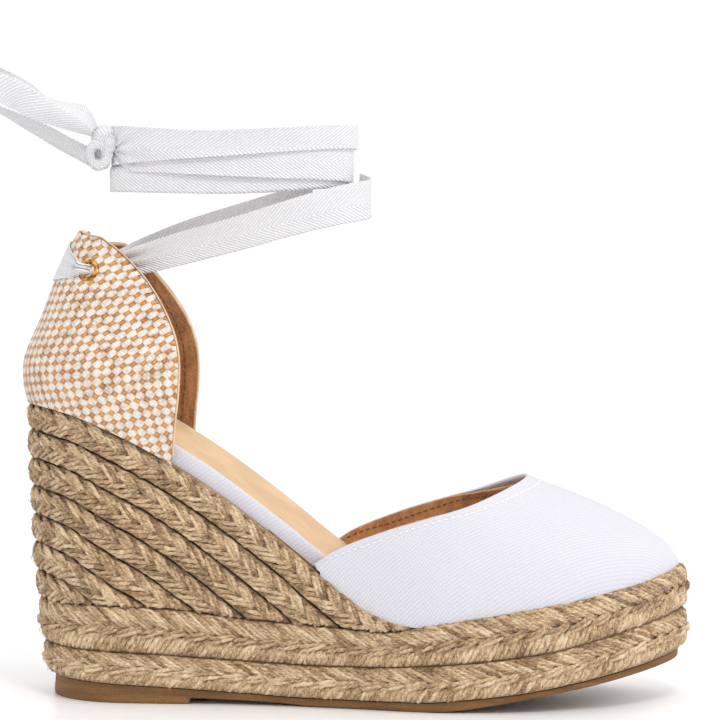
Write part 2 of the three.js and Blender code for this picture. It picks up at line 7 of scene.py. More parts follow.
import bmesh
import bpy
import numpy as np
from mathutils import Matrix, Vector


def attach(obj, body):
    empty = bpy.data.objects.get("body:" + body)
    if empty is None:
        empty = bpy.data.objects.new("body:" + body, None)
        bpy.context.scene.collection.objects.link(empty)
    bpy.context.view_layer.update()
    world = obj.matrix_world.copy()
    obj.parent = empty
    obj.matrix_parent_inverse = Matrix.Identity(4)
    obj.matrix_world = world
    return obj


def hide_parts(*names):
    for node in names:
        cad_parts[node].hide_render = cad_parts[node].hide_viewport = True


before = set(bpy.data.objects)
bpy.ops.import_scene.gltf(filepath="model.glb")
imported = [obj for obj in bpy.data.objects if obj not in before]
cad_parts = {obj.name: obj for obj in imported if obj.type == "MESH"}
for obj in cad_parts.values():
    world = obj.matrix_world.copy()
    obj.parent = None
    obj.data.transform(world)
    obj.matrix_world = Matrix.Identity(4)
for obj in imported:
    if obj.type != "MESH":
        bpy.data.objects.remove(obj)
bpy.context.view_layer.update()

rng = random.Random(7)

MM = 0.001
HEEL_MIDDLE = (33.0, -1.0)
LATERAL, MEDIAL = -1, 1

# Driving dimensions, as in the CAD.
SOLE_LENGTH = 242
TOE_TIP = 242.5
HEEL_ROUND = 34
TOE_ROUND = 68
RUBBER_INSET = 3.5
HEEL_BREAST = 56
ROW_PITCH = 10.3
ROW_GAP = 0.9
ROW_COUNT = 7
THINNEST_ROW = 2.2
BOARD_THICKNESS = 5.6
BOARD_THINNING = 2.6
RAND_THICKNESS = 1.1
RAND_LIP = 1.4
RAND_SUNK = 0.5
RAND_INSET, RAND_INSET_UNDER_TOE, RAND_INSET_AT_TIP = 5.5, 2.5, 4
SOCK_THICKNESS = 1.1
UPPER_INSET = 3
UPPER_SEAT = 0.9
UPPER_SUNK = 1.4
CANVAS = 1.2
LINING = 1.0
LINING_DEPTH = 3.3
COUNTER_TOP = 169.5
COUNTER_FALL = 1.5
COUNTER_FOOT = 100
VAMP_BACK = 110
THROAT = 184
TWIST_PITCH = 7.0
TWIST_DEPTH = 0.2
EYELET_X = 25.8
EYELET_Z = 156.8
EYELET_BORE = 2.5
EYELET_FLANGE = 4.0
EYELET_WALL = 0.4
BARREL_DEPTH = 5.0
RIBBON_WIDTH = 15.6
RIBBON = 0.5
LOOP_CENTRE = 77
HEEL_LOOP_Z = 159
HEEL_LOOP_CLEARANCE = 1.7
GATHERED_WIDTH = 5
THREADED_WIDTH = 3.4

# How far the far front edge of the counter is tucked in, and its far rim dropped.
FAR_TUCK = 2.6
FAR_DROP = 4.5

# The weave's two steps along and up the cloth, and a tan float's share of its cell.
ACROSS_CELL = (2.10, -1.37)
UP_CELL = (1.46, 1.83)
TAN_SHARE = 0.64


# ---------------------------------------------------------------- camera, light and floor

CAMERA_AZIMUTH = math.radians(6)
CAMERA_ELEVATION = math.radians(6)
CAMERA_DISTANCE = 2.5
FRAME_WIDTH = 0.2628
LOOK_AT = Vector((0.0900, 0.0010, 0.1237))


def make_camera():
    back = Vector((
        math.sin(CAMERA_AZIMUTH) * math.cos(CAMERA_ELEVATION),
        -math.cos(CAMERA_AZIMUTH) * math.cos(CAMERA_ELEVATION),
        math.sin(CAMERA_ELEVATION),
    ))
    data = bpy.data.cameras.new("camera")
    data.sensor_width = 36
    data.lens = data.sensor_width * CAMERA_DISTANCE / FRAME_WIDTH
    data.clip_start, data.clip_end = 0.1, 20
    camera = bpy.data.objects.new("camera", data)
    camera.location = LOOK_AT + back * CAMERA_DISTANCE
    camera.rotation_mode = "QUATERNION"
    camera.rotation_quaternion = back.to_track_quat("Z", "Y")
    bpy.context.scene.collection.objects.link(camera)
    bpy.context.scene.camera = camera


def area_light(name, location, size, watts, aim=(0.08, 0, 0.08)):
    data = bpy.data.lights.new(name, "AREA")
    data.shape = "DISK"
    data.size = size
    data.energy = watts
    light = bpy.data.objects.new(name, data)
    light.location = location
    light.rotation_mode = "QUATERNION"
    light.rotation_quaternion = (Vector(location) - Vector(aim)).to_track_quat("Z", "Y")
    bpy.context.scene.collection.objects.link(light)


def make_lights():
    world = bpy.data.worlds.new("studio")
    world.use_nodes = True
    background = world.node_tree.nodes["Background"]
    background.inputs["Color"].default_value = (1, 1, 1, 1)
    background.inputs["Strength"].default_value = 1.04
    bpy.context.scene.world = world
    bpy.context.scene.view_settings.view_transform = "Standard"
    area_light("key", (0.45, -0.9, 1.3), 0.35, 6.5)
    area_light("side", (1.3, -0.3, 0.8), 0.35, 3.0)


# ---------------------------------------------------------------- materials

def rgb(red, green, blue):
    """A colour given as 0 to 255 display values, as the shader's linear RGBA."""
    def linear(value):
        value /= 255
        return value / 12.92 if value <= 0.04045 else ((value + 0.055) / 1.055) ** 2.4
    return (linear(red), linear(green), linear(blue), 1)


class Finish:
    """A Principled material, with short ways to add nodes to it."""

    def __init__(self, name, **values):
        self.material = bpy.data.materials.new(name)
        self.material.use_nodes = True
        self.tree = self.material.node_tree
        self.shader = self.tree.nodes["Principled BSDF"]
        for socket, value in values.items():
            self.shader.inputs[socket.replace("_", " ")].default_value = value

    def feed(self, socket, value):
        if isinstance(value, bpy.types.NodeSocket):
            self.tree.links.new(value, socket)
        else:
            socket.default_value = value

    def node(self, kind, inputs, **settings):
        node = self.tree.nodes.new("ShaderNode" + kind)
        for key, value in settings.items():
            setattr(node, key, value)
        for key, value in inputs.items():
            self.feed(node.inputs[key], value)
        return node

    def fabric(self):
        """The piece's own surface coordinates, in millimetres."""
        return self.node("UVMap", {}, uv_map="fabric").outputs["UV"]

    def place(self):
        return self.node("TexCoord", {}).outputs["Object"]

    def tone(self):
        return self.node("Attribute", {}, attribute_name="tone").outputs["Fac"]

    def math(self, operation, a, b=0.0):
        return self.node("Math", {0: a, 1: b}, operation=operation).outputs[0]

    def weigh(self, a, share_a, b, share_b):
        """The two values, each times its share, added up."""
        return self.math("ADD", self.math("MULTIPLY", a, share_a), self.math("MULTIPLY", b, share_b))

    def split(self, vector):
        parts = self.node("SeparateXYZ", {0: vector})
        return parts.outputs[0], parts.outputs[1]

    def join(self, x, y, z=0.0):
        return self.node("CombineXYZ", {0: x, 1: y, 2: z}).outputs[0]

    def stretch(self, vector, scale):
        return self.node("Mapping", {"Vector": vector, "Scale": scale}).outputs[0]

    def noise(self, vector, scale, detail=3.0, rough=0.55):
        settings = {"Vector": vector, "Scale": scale, "Detail": detail, "Roughness": rough}
        return self.node("TexNoise", settings).outputs[0]

    def wave(self, value, turns):
        """0 to 1 and back, turns times for each unit of value."""
        turned = self.math("SINE", self.math("MULTIPLY", value, 2 * math.pi * turns))
        return self.math("MULTIPLY", self.math("ADD", turned, 1.0), 0.5)

    def ramp(self, value, *stops):
        node = self.node("ValToRGB", {"Fac": value})
        while len(node.color_ramp.elements) < len(stops):
            node.color_ramp.elements.new(0.5)
        for element, (at, colour) in zip(node.color_ramp.elements, stops):
            element.position = at
            element.color = colour
        return node.outputs["Color"]

    def mix(self, share, a, b, blend="MIX"):
        node = self.node("Mix", {0: share, 6: a, 7: b}, data_type="RGBA", blend_type=blend)
        return node.outputs[2]

    def colour(self, value):
        self.feed(self.shader.inputs["Base Color"], value)
        return self

    def roughness(self, value, low, high):
        node = self.node("MapRange", {"Value": value, "To Min": low, "To Max": high})
        self.feed(self.shader.inputs["Roughness"], node.outputs[0])
        return self

    def bump(self, *layers):
        """Bump from (height, strength, depth in mm) layers, the first one lowest."""
        below = None
        for height, strength, depth in layers:
            inputs = {"Strength": strength, "Distance": depth * MM, "Height": height}
            if below is not None:
                inputs["Normal"] = below
            below = self.node("Bump", inputs).outputs["Normal"]
        self.feed(self.shader.inputs["Normal"], below)
        return self


def jute():
    m = Finish("jute_plait", Sheen_Weight=0.15, Sheen_Roughness=0.6, Specular_IOR_Level=0.25)
    around, along = m.split(m.fabric())
    twist = m.math("SUBTRACT", around, m.math("MULTIPLY", along, 1 / TWIST_PITCH))
    fibre_at = m.join(m.math("MULTIPLY", twist, 12.0), m.math("MULTIPLY", along, 0.45), m.tone())
    fibre = m.noise(fibre_at, 1.0, 4.0, 0.8)
    fluff = m.noise(m.stretch(m.place(), (800.0, 800.0, 1500.0)), 1.0, 3.0, 0.7)
    cloud = m.noise(m.place(), 140.0, 3.0)
    level = m.weigh(fibre, 0.75, fluff, 0.45)
    # The tone attribute adds each yarn's own tone and also painted shade: darker in the grooves
    # between rows, where yarns dip under, and on the backing behind the strands.
    level = m.math("ADD", level, m.math("MULTIPLY", m.tone(), 0.24))
    level = m.math("SUBTRACT", level, 0.2)
    level = m.math("ADD", level, m.math("MULTIPLY", m.math("SUBTRACT", cloud, 0.5), 0.2))
    body = m.ramp(level, (0.3, rgb(88, 62, 38)), (0.43, rgb(152, 120, 86)),
                  (0.52, rgb(196, 164, 126)), (0.61, rgb(224, 196, 158)), (0.73, rgb(244, 224, 192)))
    m.colour(body).roughness(fibre, 0.95, 0.7)
    return m.bump((fluff, 0.6, 0.35), (fibre, 1.0, 0.45)).material


def canvas(name, light, dark, pitch):
    """Plain weave of the given thread pitch in millimetres."""
    m = Finish(name, Sheen_Weight=0.2, Sheen_Roughness=0.5, Specular_IOR_Level=0.2)
    across, along = m.split(m.fabric())
    slub = m.noise(m.stretch(m.fabric(), (0.25, 2.2, 1.0)), 1.0, 3.0)
    warp = m.wave(m.math("ADD", across, m.math("MULTIPLY", slub, 0.12)), 0.5 / pitch)
    weft = m.wave(m.math("ADD", along, m.math("MULTIPLY", slub, 0.12)), 0.5 / pitch)
    over = m.math("ABSOLUTE", m.math("SUBTRACT", warp, weft))
    grain = m.noise(m.place(), 2600.0, 2.0)
    shade = m.weigh(over, 0.75, slub, 0.4)
    m.colour(m.ramp(shade, (0.0, rgb(*dark)), (0.55, rgb(*light)), (1.0, rgb(*light))))
    m.roughness(slub, 0.78, 0.92)
    return m.bump((over, 0.6, 0.22), (grain, 0.25, 0.08)).material


def ribbon_cotton():
    """Herringbone tape: ribs that meet along the middle of the width."""
    m = Finish("ribbon_cotton", Sheen_Weight=0.25, Sheen_Roughness=0.45, Specular_IOR_Level=0.22)
    across, along = m.split(m.fabric())
    side = m.math("ABSOLUTE", across)
    slub = m.noise(m.stretch(m.fabric(), (1.6, 0.35, 1.0)), 1.0, 3.0)
    phase = m.math("SUBTRACT", along, m.math("MULTIPLY", side, 1.45))
    rib = m.wave(m.math("ADD", phase, m.math("MULTIPLY", slub, 1.1)), 1 / 1.7)
    thread = m.wave(across, 1 / 0.55)
    cloud = m.noise(m.place(), 130.0, 2.0)
    # Painted shade: the colour follows the ribs, darker in their grooves.
    shade = m.weigh(rib, 0.75, cloud, 0.25)
    m.colour(m.ramp(shade, (0.08, rgb(205, 204, 207)), (0.4, rgb(224, 223, 225)),
                    (0.75, rgb(232, 231, 233))))
    m.roughness(slub, 0.75, 0.9)
    return m.bump((rib, 0.8, 0.35), (thread, 0.3, 0.06), (slub, 0.3, 0.1)).material


def basket_weave():
    """Ivory floats that bulge over smaller tan ones, two or three fine threads in each, with painted
    shade at the ivory corners and round the rims of the tan floats.
    """
    m = Finish("basket_weave", Sheen_Weight=0.15, Sheen_Roughness=0.5, Specular_IOR_Level=0.25)
    lattice = m.fabric()
    across, along = m.split(lattice)
    p, q = [m.math("ABSOLUTE", m.math("SUBTRACT", m.math("FRACT", value), 0.5))
            for value in (across, along)]
    odd = m.node("TexChecker", {"Vector": lattice, "Scale": 1.0}).outputs["Fac"]
    edge = m.math("MAXIMUM", p, q)
    tan = m.math("MULTIPLY", odd, m.math("LESS_THAN", edge, 0.5 * (1 + TAN_SHARE) / 2))
    # Painted shade in the corners of the ivory floats.
    corner_shade = m.math("MULTIPLY", m.math("MULTIPLY", p, q), 4.0)
    threads = m.mix(tan, m.wave(along, 3.0), m.wave(across, 3.0))
    slub = m.noise(m.place(), 900.0, 3.0)
    cloud = m.noise(m.place(), 220.0, 2.0)
    shade = m.weigh(slub, 0.5, cloud, 0.5)
    ivory = m.ramp(m.math("SUBTRACT", shade, m.math("MULTIPLY", corner_shade, 0.2)),
                   (0.18, rgb(152, 122, 96)), (0.34, rgb(202, 184, 168)), (0.5, rgb(226, 214, 202)),
                   (0.75, rgb(236, 228, 218)))
    # Painted shade: the tan floats darken towards their rims, under the overhang of the ivory ones.
    tans = m.ramp(m.math("SUBTRACT", shade, m.math("MULTIPLY", edge, 0.5)),
                  (0.12, rgb(104, 66, 36)), (0.3, rgb(168, 118, 72)), (0.5, rgb(206, 158, 110)))
    m.colour(m.mix(tan, ivory, tans)).roughness(slub, 0.9, 0.7)
    return m.bump((threads, 0.6, 0.2), (slub, 0.35, 0.12)).material


def suede(name, dark, mid, light):
    m = Finish(name, Sheen_Weight=0.35, Sheen_Roughness=0.6, Specular_IOR_Level=0.15)
    nap = m.noise(m.place(), 1500.0, 4.0, 0.75)
    brushed = m.noise(m.stretch(m.place(), (260.0, 260.0, 90.0)), 1.0, 3.0)
    level = m.weigh(nap, 0.5, brushed, 0.5)
    m.colour(m.ramp(level, (0.36, rgb(*dark)), (0.5, rgb(*mid)), (0.64, rgb(*light))))
    return m.roughness(brushed, 0.8, 0.98).bump((nap, 0.5, 0.12), (brushed, 0.25, 0.2)).material


def leather():
    m = Finish("insole_leather", Coat_Weight=0.05, Coat_Roughness=0.45, Specular_IOR_Level=0.35)
    pores = m.node("TexVoronoi", {"Vector": m.place(), "Scale": 1500.0}).outputs["Distance"]
    cloud = m.noise(m.place(), 60.0, 4.0)
    creases = m.noise(m.stretch(m.place(), (60.0, 900.0, 60.0)), 1.0, 4.0)
    level = m.weigh(cloud, 0.7, creases, 0.3)
    m.colour(m.ramp(level, (0.3, rgb(200, 160, 116)), (0.5, rgb(216, 178, 134)),
                    (0.7, rgb(228, 194, 152))))
    return m.roughness(cloud, 0.45, 0.65).bump((pores, 0.25, 0.1), (creases, 0.2, 0.15)).material


def rubber():
    m = Finish("sole_rubber", Specular_IOR_Level=0.4)
    speckle = m.noise(m.place(), 1500.0, 4.0, 0.7)
    scuff = m.noise(m.stretch(m.place(), (35.0, 35.0, 420.0)), 1.0, 4.0)
    level = m.weigh(speckle, 0.4, scuff, 0.6)
    m.colour(m.ramp(level, (0.3, rgb(88, 58, 30)), (0.5, rgb(124, 88, 50)),
                    (0.72, rgb(156, 116, 70))))
    return m.roughness(scuff, 0.55, 0.8).bump((speckle, 0.3, 0.12), (scuff, 0.3, 0.15)).material


def cork():
    m = Finish("cork_core")
    cells = m.node("TexVoronoi", {"Vector": m.place(), "Scale": 420.0})
    crumbs = m.noise(m.place(), 300.0, 3.0)
    m.colour(m.mix(crumbs, rgb(128, 88, 52), m.ramp(cells.outputs["Distance"],
                   (0.1, rgb(176, 132, 86)), (0.7, rgb(104, 68, 38)))))
    return m.roughness(crumbs, 0.8, 0.95).bump((cells.outputs["Distance"], 0.5, 0.4)).material


def fibre_board():
    m = Finish("fibre_board")
    fibres = m.noise(m.stretch(m.place(), (150.0, 700.0, 700.0)), 1.0, 4.0)
    m.colour(m.ramp(fibres, (0.3, rgb(170, 150, 118)), (0.7, rgb(214, 198, 168))))
    return m.roughness(fibres, 0.85, 0.98).bump((fibres, 0.4, 0.2)).material


def gold():
    m = Finish("gilt_eyelet", Metallic=1.0)
    brushed = m.noise(m.stretch(m.place(), (900.0, 900.0, 2600.0)), 1.0, 3.0)
    patina_and_reflections = m.noise(m.place(), 500.0, 3.0)
    # Partly patina, partly painted reflection: the noise is spread into bright and near-black blotches
    # that stand in for reflected light and dark.
    m.colour(m.ramp(patina_and_reflections, (0.36, rgb(112, 68, 26)), (0.52, rgb(196, 142, 68)),
                    (0.7, rgb(246, 212, 146))))
    return m.roughness(patina_and_reflections, 0.16, 0.34).bump((brushed, 0.12, 0.03)).material


def thread(name, dark, light):
    m = Finish(name)
    around, along = m.split(m.fabric())
    twist = m.wave(m.math("ADD", around, m.math("MULTIPLY", along, 1.4)), 2.0)
    m.colour(m.ramp(twist, (0.1, rgb(*dark)), (0.9, rgb(*light))))
    return m.roughness(twist, 0.9, 0.6).bump((twist, 0.5, 0.08)).material


def floor_finish():
    m = Finish("studio_floor", Specular_IOR_Level=0.35)
    sweep = m.noise(m.place(), 3.0, 2.0)
    m.colour(m.ramp(sweep, (0.3, rgb(250, 250, 251)), (0.7, rgb(253, 253, 254))))
    return m.roughness(sweep, 0.3, 0.36).bump((m.noise(m.place(), 700.0, 2.0), 0.05, 0.02)).material


MATERIALS = {
    "jute": jute(),
    "white_canvas": canvas("white_canvas", (216, 215, 222), (190, 189, 200), 0.76),
    "ribbon": ribbon_cotton(),
    "basket": basket_weave(),
    "suede": suede("suede_lining", (130, 82, 46), (176, 122, 76), (204, 152, 104)),
    "leather": leather(),
    "rubber": rubber(),
    "cork": cork(),
    "board": fibre_board(),
    "gold": gold(),
    "white_thread": thread("white_thread", (222, 221, 226), (250, 250, 252)),
    "brown_thread": thread("brown_thread", (92, 58, 32), (140, 94, 56)),
    "edge": suede("folded_edge", (190, 150, 112), (214, 180, 144), (230, 204, 174)),
}


# ---------------------------------------------------------------- the shoe's curves

def profile(*points):
    """A smooth curve z(x) or w(z) through a few points."""
    xs, ys = np.array(points, float).T
    count = np.arange(len(xs))
    ahead, behind = np.minimum(count + 1, len(xs) - 1), np.maximum(count - 1, 0)
    slopes = (ys[ahead] - ys[behind]) / (xs[ahead] - xs[behind])

    def curve(x):
        x = np.clip(x, xs[0], xs[-1])
        i = np.clip(np.searchsorted(xs, x, side="right") - 1, 0, len(xs) - 2)
        step = xs[i + 1] - xs[i]
        q = (x - xs[i]) / step
        rise = ys[i + 1] - ys[i]
        a = slopes[i] * step - rise
        b = rise - slopes[i + 1] * step
        return ys[i] + rise * q + q * (1 - q) * (a * (1 - q) + b * q)
    return curve


tread_line = profile((0, 2.2), (60, 2.2), (95, 1.1), (114, 0), (150, 0), (163, 0.9), (178, 3.2),
                     (197, 6.6), (217, 10.4), (242, 16))
rubber_top = profile((0, 8.3), (42, 6.8), (82, 4.6), (105, 3.5), (149, 3.6), (162, 4.6), (184, 7),
                     (204, 10.4), (226, 15.2), (242, 19.4))
braid_line = profile((0, 19.8), (50, 18.3), (82, 16.4), (117, 15.4), (149, 16.8), (190, 21),
                     (211, 25.2), (242, 33.5))
platform_top = profile((0, 35.8), (54, 35), (82, 31.8), (114, 29.6), (138, 28.8), (150, 31.2),
                       (162, 33.3), (184, 37), (201, 39.8), (217, 42.8), (230, 45.7), (242, 49.2))
deck_line = profile((0, 108), (10, 107.6), (24, 104.6), (43, 96.2), (58.5, 87.8), (75.6, 76.7),
                    (98.7, 59.5), (109, 51), (121.5, 41.2), (130, 35.8), (140, 32.3), (150, 31.3),
                    (162, 33.3), (184, 37), (201, 39.8), (217, 42.8), (230, 45.7), (242, 49.2))
centre_line = profile((0, 0), (140, 0), (200, 3), (242, 8))
lateral_half = profile((0, 32), (45, 31.5), (85, 31), (118, 35), (155, 43), (180, 43.5), (242, 42))
medial_half = profile((0, 31), (50, 30.5), (95, 30), (130, 35), (168, 42.5), (195, 42), (242, 38))
back_line = profile((0, 6.5), (8, 7.2), (20, 5.6), (36, 3.9), (50, 2.4), (70, 1.6), (90, 0.6),
                    (108, 0.6))
counter_back = profile((88, 2.6), (107.8, 1.6), (115, 0.2), (124, 0.7), (139, 7), (152, 12),
                       (166, 18.4), (170, 21))
counter_round = profile((108, 34), (140, 27), (170, 20))
counter_half = profile((88, 31.3), (108, 31.3), (122, 30), (137, 26), (150, 21), (162, 16.5),
                       (170, 13))
counter_front = profile((88, 57.6), (100.5, 58.3), (115.5, 59.8), (127.7, 59.6), (138.8, 56.2),
                        (152.4, 47.8), (162, 38.4), (167.5, 30.5), (169.5, 25))
crest_line = profile((100, 118), (118, 111), (137, 102), (152, 95.5), (165, 89.4), (184, 80.6),
                     (197, 75.8), (211, 70), (222, 64.4), (230, 59.6), (236, 54.4), (239.5, 49.4))
topline_height = profile((110, 51.2), (118, 56.6), (137, 64.2), (152, 69), (165, 73), (184, 80.6))
CREST_POWER = 2.3


def mix(a, b, q):
    return a + (b - a) * q


def smooth(x, start, end):
    q = np.clip((x - start) / (end - start), 0, 1)
    return q * q * (3 - 2 * q)


def round_end(q):
    return np.sqrt(1 - (1 - np.clip(q, 0, 1)) ** 2)


def unit(vectors):
    return vectors / np.maximum(np.linalg.norm(vectors, axis=-1, keepdims=True), 1e-9)


def lengths(line):
    """Distance along a line to each of its points."""
    return np.concatenate([[0], np.cumsum(np.linalg.norm(np.diff(line, axis=0), axis=1))])


def woven(across, along):
    """Fabric coordinates of a grid, from those of its columns and of its rows."""
    return np.stack(np.meshgrid(across, along), -1)


def raised(line, rise):
    return lambda x: line(x) + rise


def x_at(t):
    return SOLE_LENGTH * (1 - np.cos(np.pi * t)) / 2


def station_at(x):
    return math.acos(1 - 2 * x / SOLE_LENGTH) / math.pi


def half_width(x, side):
    return np.where(np.asarray(side) < 0, lateral_half(x), medial_half(x))


def sole_point(t, side, inset, line):
    """Point on the sole's outline, t = 0 at the back of the heel and 1 at the toe tip."""
    along = x_at(t)
    heel = back_line(line(along)) + inset
    toe = TOE_TIP - inset
    x = heel + (toe - heel) * along / SOLE_LENGTH
    heel_round = round_end((x - heel) / (HEEL_ROUND - inset))
    toe_round = round_end((toe - x) / (TOE_ROUND - inset))
    y = centre_line(x) + side * (half_width(x, side) - inset) * heel_round * toe_round
    return np.stack(np.broadcast_arrays(x, y, line(x)), -1)


def sole_half(x, side, inset):
    heel_round = round_end((x - back_line(deck_line(x)) - inset) / (HEEL_ROUND - inset))
    toe_round = round_end((TOE_TIP - inset - x) / (TOE_ROUND - inset))
    return (half_width(x, side) - inset) * heel_round * toe_round


def row_line(row):
    """Top edge of a wedge row; the rows lie parallel to the footbed."""
    def line(x):
        slope = deck_line(x + 0.5) - deck_line(x - 0.5)
        return deck_line(x) - row * ROW_PITCH * np.hypot(1, slope)
    return line


# ---------------------------------------------------------------- meshes

class Cloth:
    """Collects grids of points into one mesh, with fabric coordinates and a tone for each point; on
    the jute that tone also carries painted shade.
    """

    def __init__(self):
        self.points, self.faces, self.coords, self.tones_and_shades = [], [], [], []
        self.count = 0

    def grid(self, points, coords, tone=0.5, ring=False, loop=False, caps=False):
        """points is rows x columns x 3. A ring joins the last column to the first and a loop the
        last row to the first, and then coords has one more column, or row, than points."""
        rows, columns = points.shape[:2]
        i = np.arange(rows if loop else rows - 1)[:, None]
        j = np.arange(columns if ring else columns - 1)[None, :]
        corners = [(i, j), (i, j + 1), (i + 1, j + 1), (i + 1, j)]
        quads = [(a % rows) * columns + b % columns + self.count for a, b in corners]
        quads = np.stack(np.broadcast_arrays(*quads), -1).reshape(-1, 4)
        uvs = [coords[np.broadcast_arrays(a, b)[0], np.broadcast_arrays(a, b)[1]]
               for a, b in corners]
        uvs = [np.broadcast_to(uv, (len(i), j.shape[1], 2)) for uv in uvs]
        self.faces += quads.tolist()
        self.coords.append(np.stack(uvs, -2).reshape(-1, 2))
        if caps:
            ends = np.arange(columns)
            self.faces.append((ends + self.count).tolist()[::-1])
            self.faces.append((ends + self.count + (rows - 1) * columns).tolist())
            self.coords += [coords[0, :columns][::-1], coords[-1, :columns]]
        self.points.append(points.reshape(-1, 3))
        self.tones_and_shades.append(np.broadcast_to(tone, (rows, columns)).ravel())
        self.count += rows * columns

    def tube(self, line, out, radius, sides=6, tone=0.5, lobes=0.0):
        """Yarn along a line; out is a direction that the section keeps to. lobes shapes it as two
        plies twisted together, and is their share of the radius."""
        tangent = unit(np.gradient(line, axis=0))
        side = unit(np.cross(tangent, out))
        up = np.cross(side, tangent)
        angle = 2 * np.pi * np.arange(sides) / sides
        spokes = side[:, None] * np.cos(angle)[:, None] + up[:, None] * np.sin(angle)[:, None]
        length = lengths(line)
        ply = np.cos(2 * angle[None, :] - 2 * np.pi * 2 * length[:, None] / TWIST_PITCH)
        radius = (np.broadcast_to(radius, len(line))[:, None] * (1 + lobes * ply))[..., None]
        around, along = np.meshgrid(np.arange(sides + 1) / sides, length)
        coords = np.stack([around, along], -1)
        tone = np.broadcast_to(tone, len(line))[:, None]
        self.grid(line[:, None] + spokes * radius, coords, tone, ring=True, caps=True)

    def strip(self, middle, across, along, thickness=RIBBON, loop=False, tone=0.5):
        """Closed thin sheet about a grid of points. across, for each point or each column, and
        along, for each row, are its fabric coordinates."""
        down = np.gradient(middle, axis=0)
        if loop:
            down = np.roll(middle, -1, 0) - np.roll(middle, 1, 0)
        normal = unit(np.cross(down, np.gradient(middle, axis=1)))
        half = thickness / 2
        points = np.concatenate([middle + normal * half, (middle - normal * half)[:, ::-1]], 1)
        across = np.broadcast_to(across, middle.shape[:2])
        across = np.concatenate([across, across[:, ::-1], across[:, :1]], 1)
        if loop:
            across = np.concatenate([across, across[:1]])
        along = np.broadcast_to(along[:, None], across.shape)
        coords = np.stack([across, along], -1)
        self.grid(points, coords, tone, ring=True, loop=loop, caps=not loop)

    def piece(self, name, body, nodes, slot, finish, *, sharp=60, level=0):
        """Makes the object, places it in the row frame and gives it its body and finish; slot is not
        used.
        """
        points = np.concatenate(self.points)
        points = (points - [HEEL_MIDDLE[0], HEEL_MIDDLE[1], 0]) * MM
        data = bpy.data.meshes.new(name)
        data.from_pydata(points, [], self.faces)
        uv = data.uv_layers.new(name="fabric")
        uv.data.foreach_set("uv", np.concatenate(self.coords).astype(np.float32).ravel())
        tones_and_shades = data.attributes.new("tone", "FLOAT", "POINT")
        tones_and_shades.data.foreach_set("value", np.concatenate(self.tones_and_shades).astype(np.float32))
        data.polygons.foreach_set("use_smooth", [True] * len(data.polygons))
        data.materials.append(MATERIALS[finish])
        piece = bpy.data.objects.new(name, data)
        bpy.context.scene.collection.objects.link(piece)
        faced_out(data)
        data.set_sharp_from_angle(angle=math.radians(sharp))
        if level:
            subdivision = piece.modifiers.new("subdivision", "SUBSURF")
            subdivision.levels = subdivision.render_levels = level
        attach(piece, body)
        if nodes:
            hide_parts(*nodes)
        return piece


def faced_out(data):
    """Turns the faces of each closed body outward."""
    work = bmesh.new()
    work.from_mesh(data)
    bmesh.ops.recalc_face_normals(work, faces=work.faces)
    work.to_mesh(data)
    work.free()


# ---------------------------------------------------------------- plaited jute

SIDE_STATIONS = 150
YARN = 0.8
CROSSING = 1.0
BACKING_DEPTHS = (2.6, 5.4)
FIBRES_PER_MM = 1.3
PLATFORM_FIBRES = 600


class Course:
    """The face that a plait runs along: its middle line, half width, and the ways across and out."""

    def __init__(self, t, side, low, high):
        self.middle = sole_point(t, side, 0, lambda x: (low(x) + high(x)) / 2)
        rise = sole_point(t, side, 0, high) - sole_point(t, side, 0, low)
        tangent = unit(np.gradient(self.middle, axis=0))
        rise = rise - tangent * np.sum(rise * tangent, -1, keepdims=True)
        self.half = np.linalg.norm(rise, axis=-1) / 2
        self.across = unit(rise)
        self.out = np.cross(tangent, self.across)
        self.s = lengths(self.middle)
        self.length = self.s[-1]

    def at(self, s, columns):
        return np.stack([np.interp(s, self.s, column) for column in columns.T], -1)

    def half_at(self, s):
        return np.interp(s, self.s, self.half)

    def point(self, s, v, out):
        return (self.at(s, self.middle) + self.at(s, self.across) * v[:, None]
                + self.at(s, self.out) * out[:, None])


def wander(s, amount, period):
    """Slow, seeded drift along a yarn."""
    phases = [rng.uniform(0, 2 * math.pi) for _ in range(2)]
    waves = np.sin(2 * np.pi * s / period + phases[0]) + np.sin(5.3 * s / period + phases[1])
    return amount * waves / 2


def strand(cloth, course, s, v, out, yarns, spread, radius, crown, keep=None, shades=0.25,
           pale=0.6):
    """Lays a strand of parallel yarns along v(s), leaving out the points that keep() refuses. It
    stays inside the plait's edges, where it turns in by the crown."""
    slope = np.gradient(v, s)
    norm = np.hypot(1, slope)
    edge = course.half_at(s)
    base = pale + rng.uniform(-shades / 2, shades / 2)
    for number in range(yarns):
        offset = (number - (yarns - 1) / 2) * spread
        s_yarn = s - slope * offset / norm
        limit = edge - radius + wander(s, 0.22, 11)
        v_yarn = np.clip(v + offset / norm + wander(s, 0.18, 9), -limit, limit)
        rim = np.abs(v_yarn) / edge
        line = course.point(s_yarn, v_yarn, out - crown * rim ** 3 + wander(s, 0.16, 13))
        thick = radius * (1 + wander(s, 0.14, 7))
        # Painted shade: the tone is darkened towards the plait's edges, in the groove between rows,
        # and where the yarn dips under a crossing.
        tone = base + rng.uniform(-shades, shades) + wander(s, 0.3, 30) - 0.35 * rim ** 5
        tone = np.clip(tone - 0.25 * (out < np.mean(out)), 0, 1)
        outward = course.at(s_yarn, course.out)
        for start, end in kept_runs(line, keep):
            run = slice(start, end)
            cloth.tube(line[run], outward[run], thick[run], 8, tone[run], TWIST_DEPTH)


def kept_runs(line, keep):
    """Starts and ends of the stretches of a line that are kept."""
    if keep is None:
        return [(0, len(line))]
    flags = np.concatenate([[False], keep(line), [False]]).astype(int)
    starts, ends = np.where(np.diff(flags) == 1)[0], np.where(np.diff(flags) == -1)[0]
    return [(a, b) for a, b in zip(starts, ends) if b - a > 3]


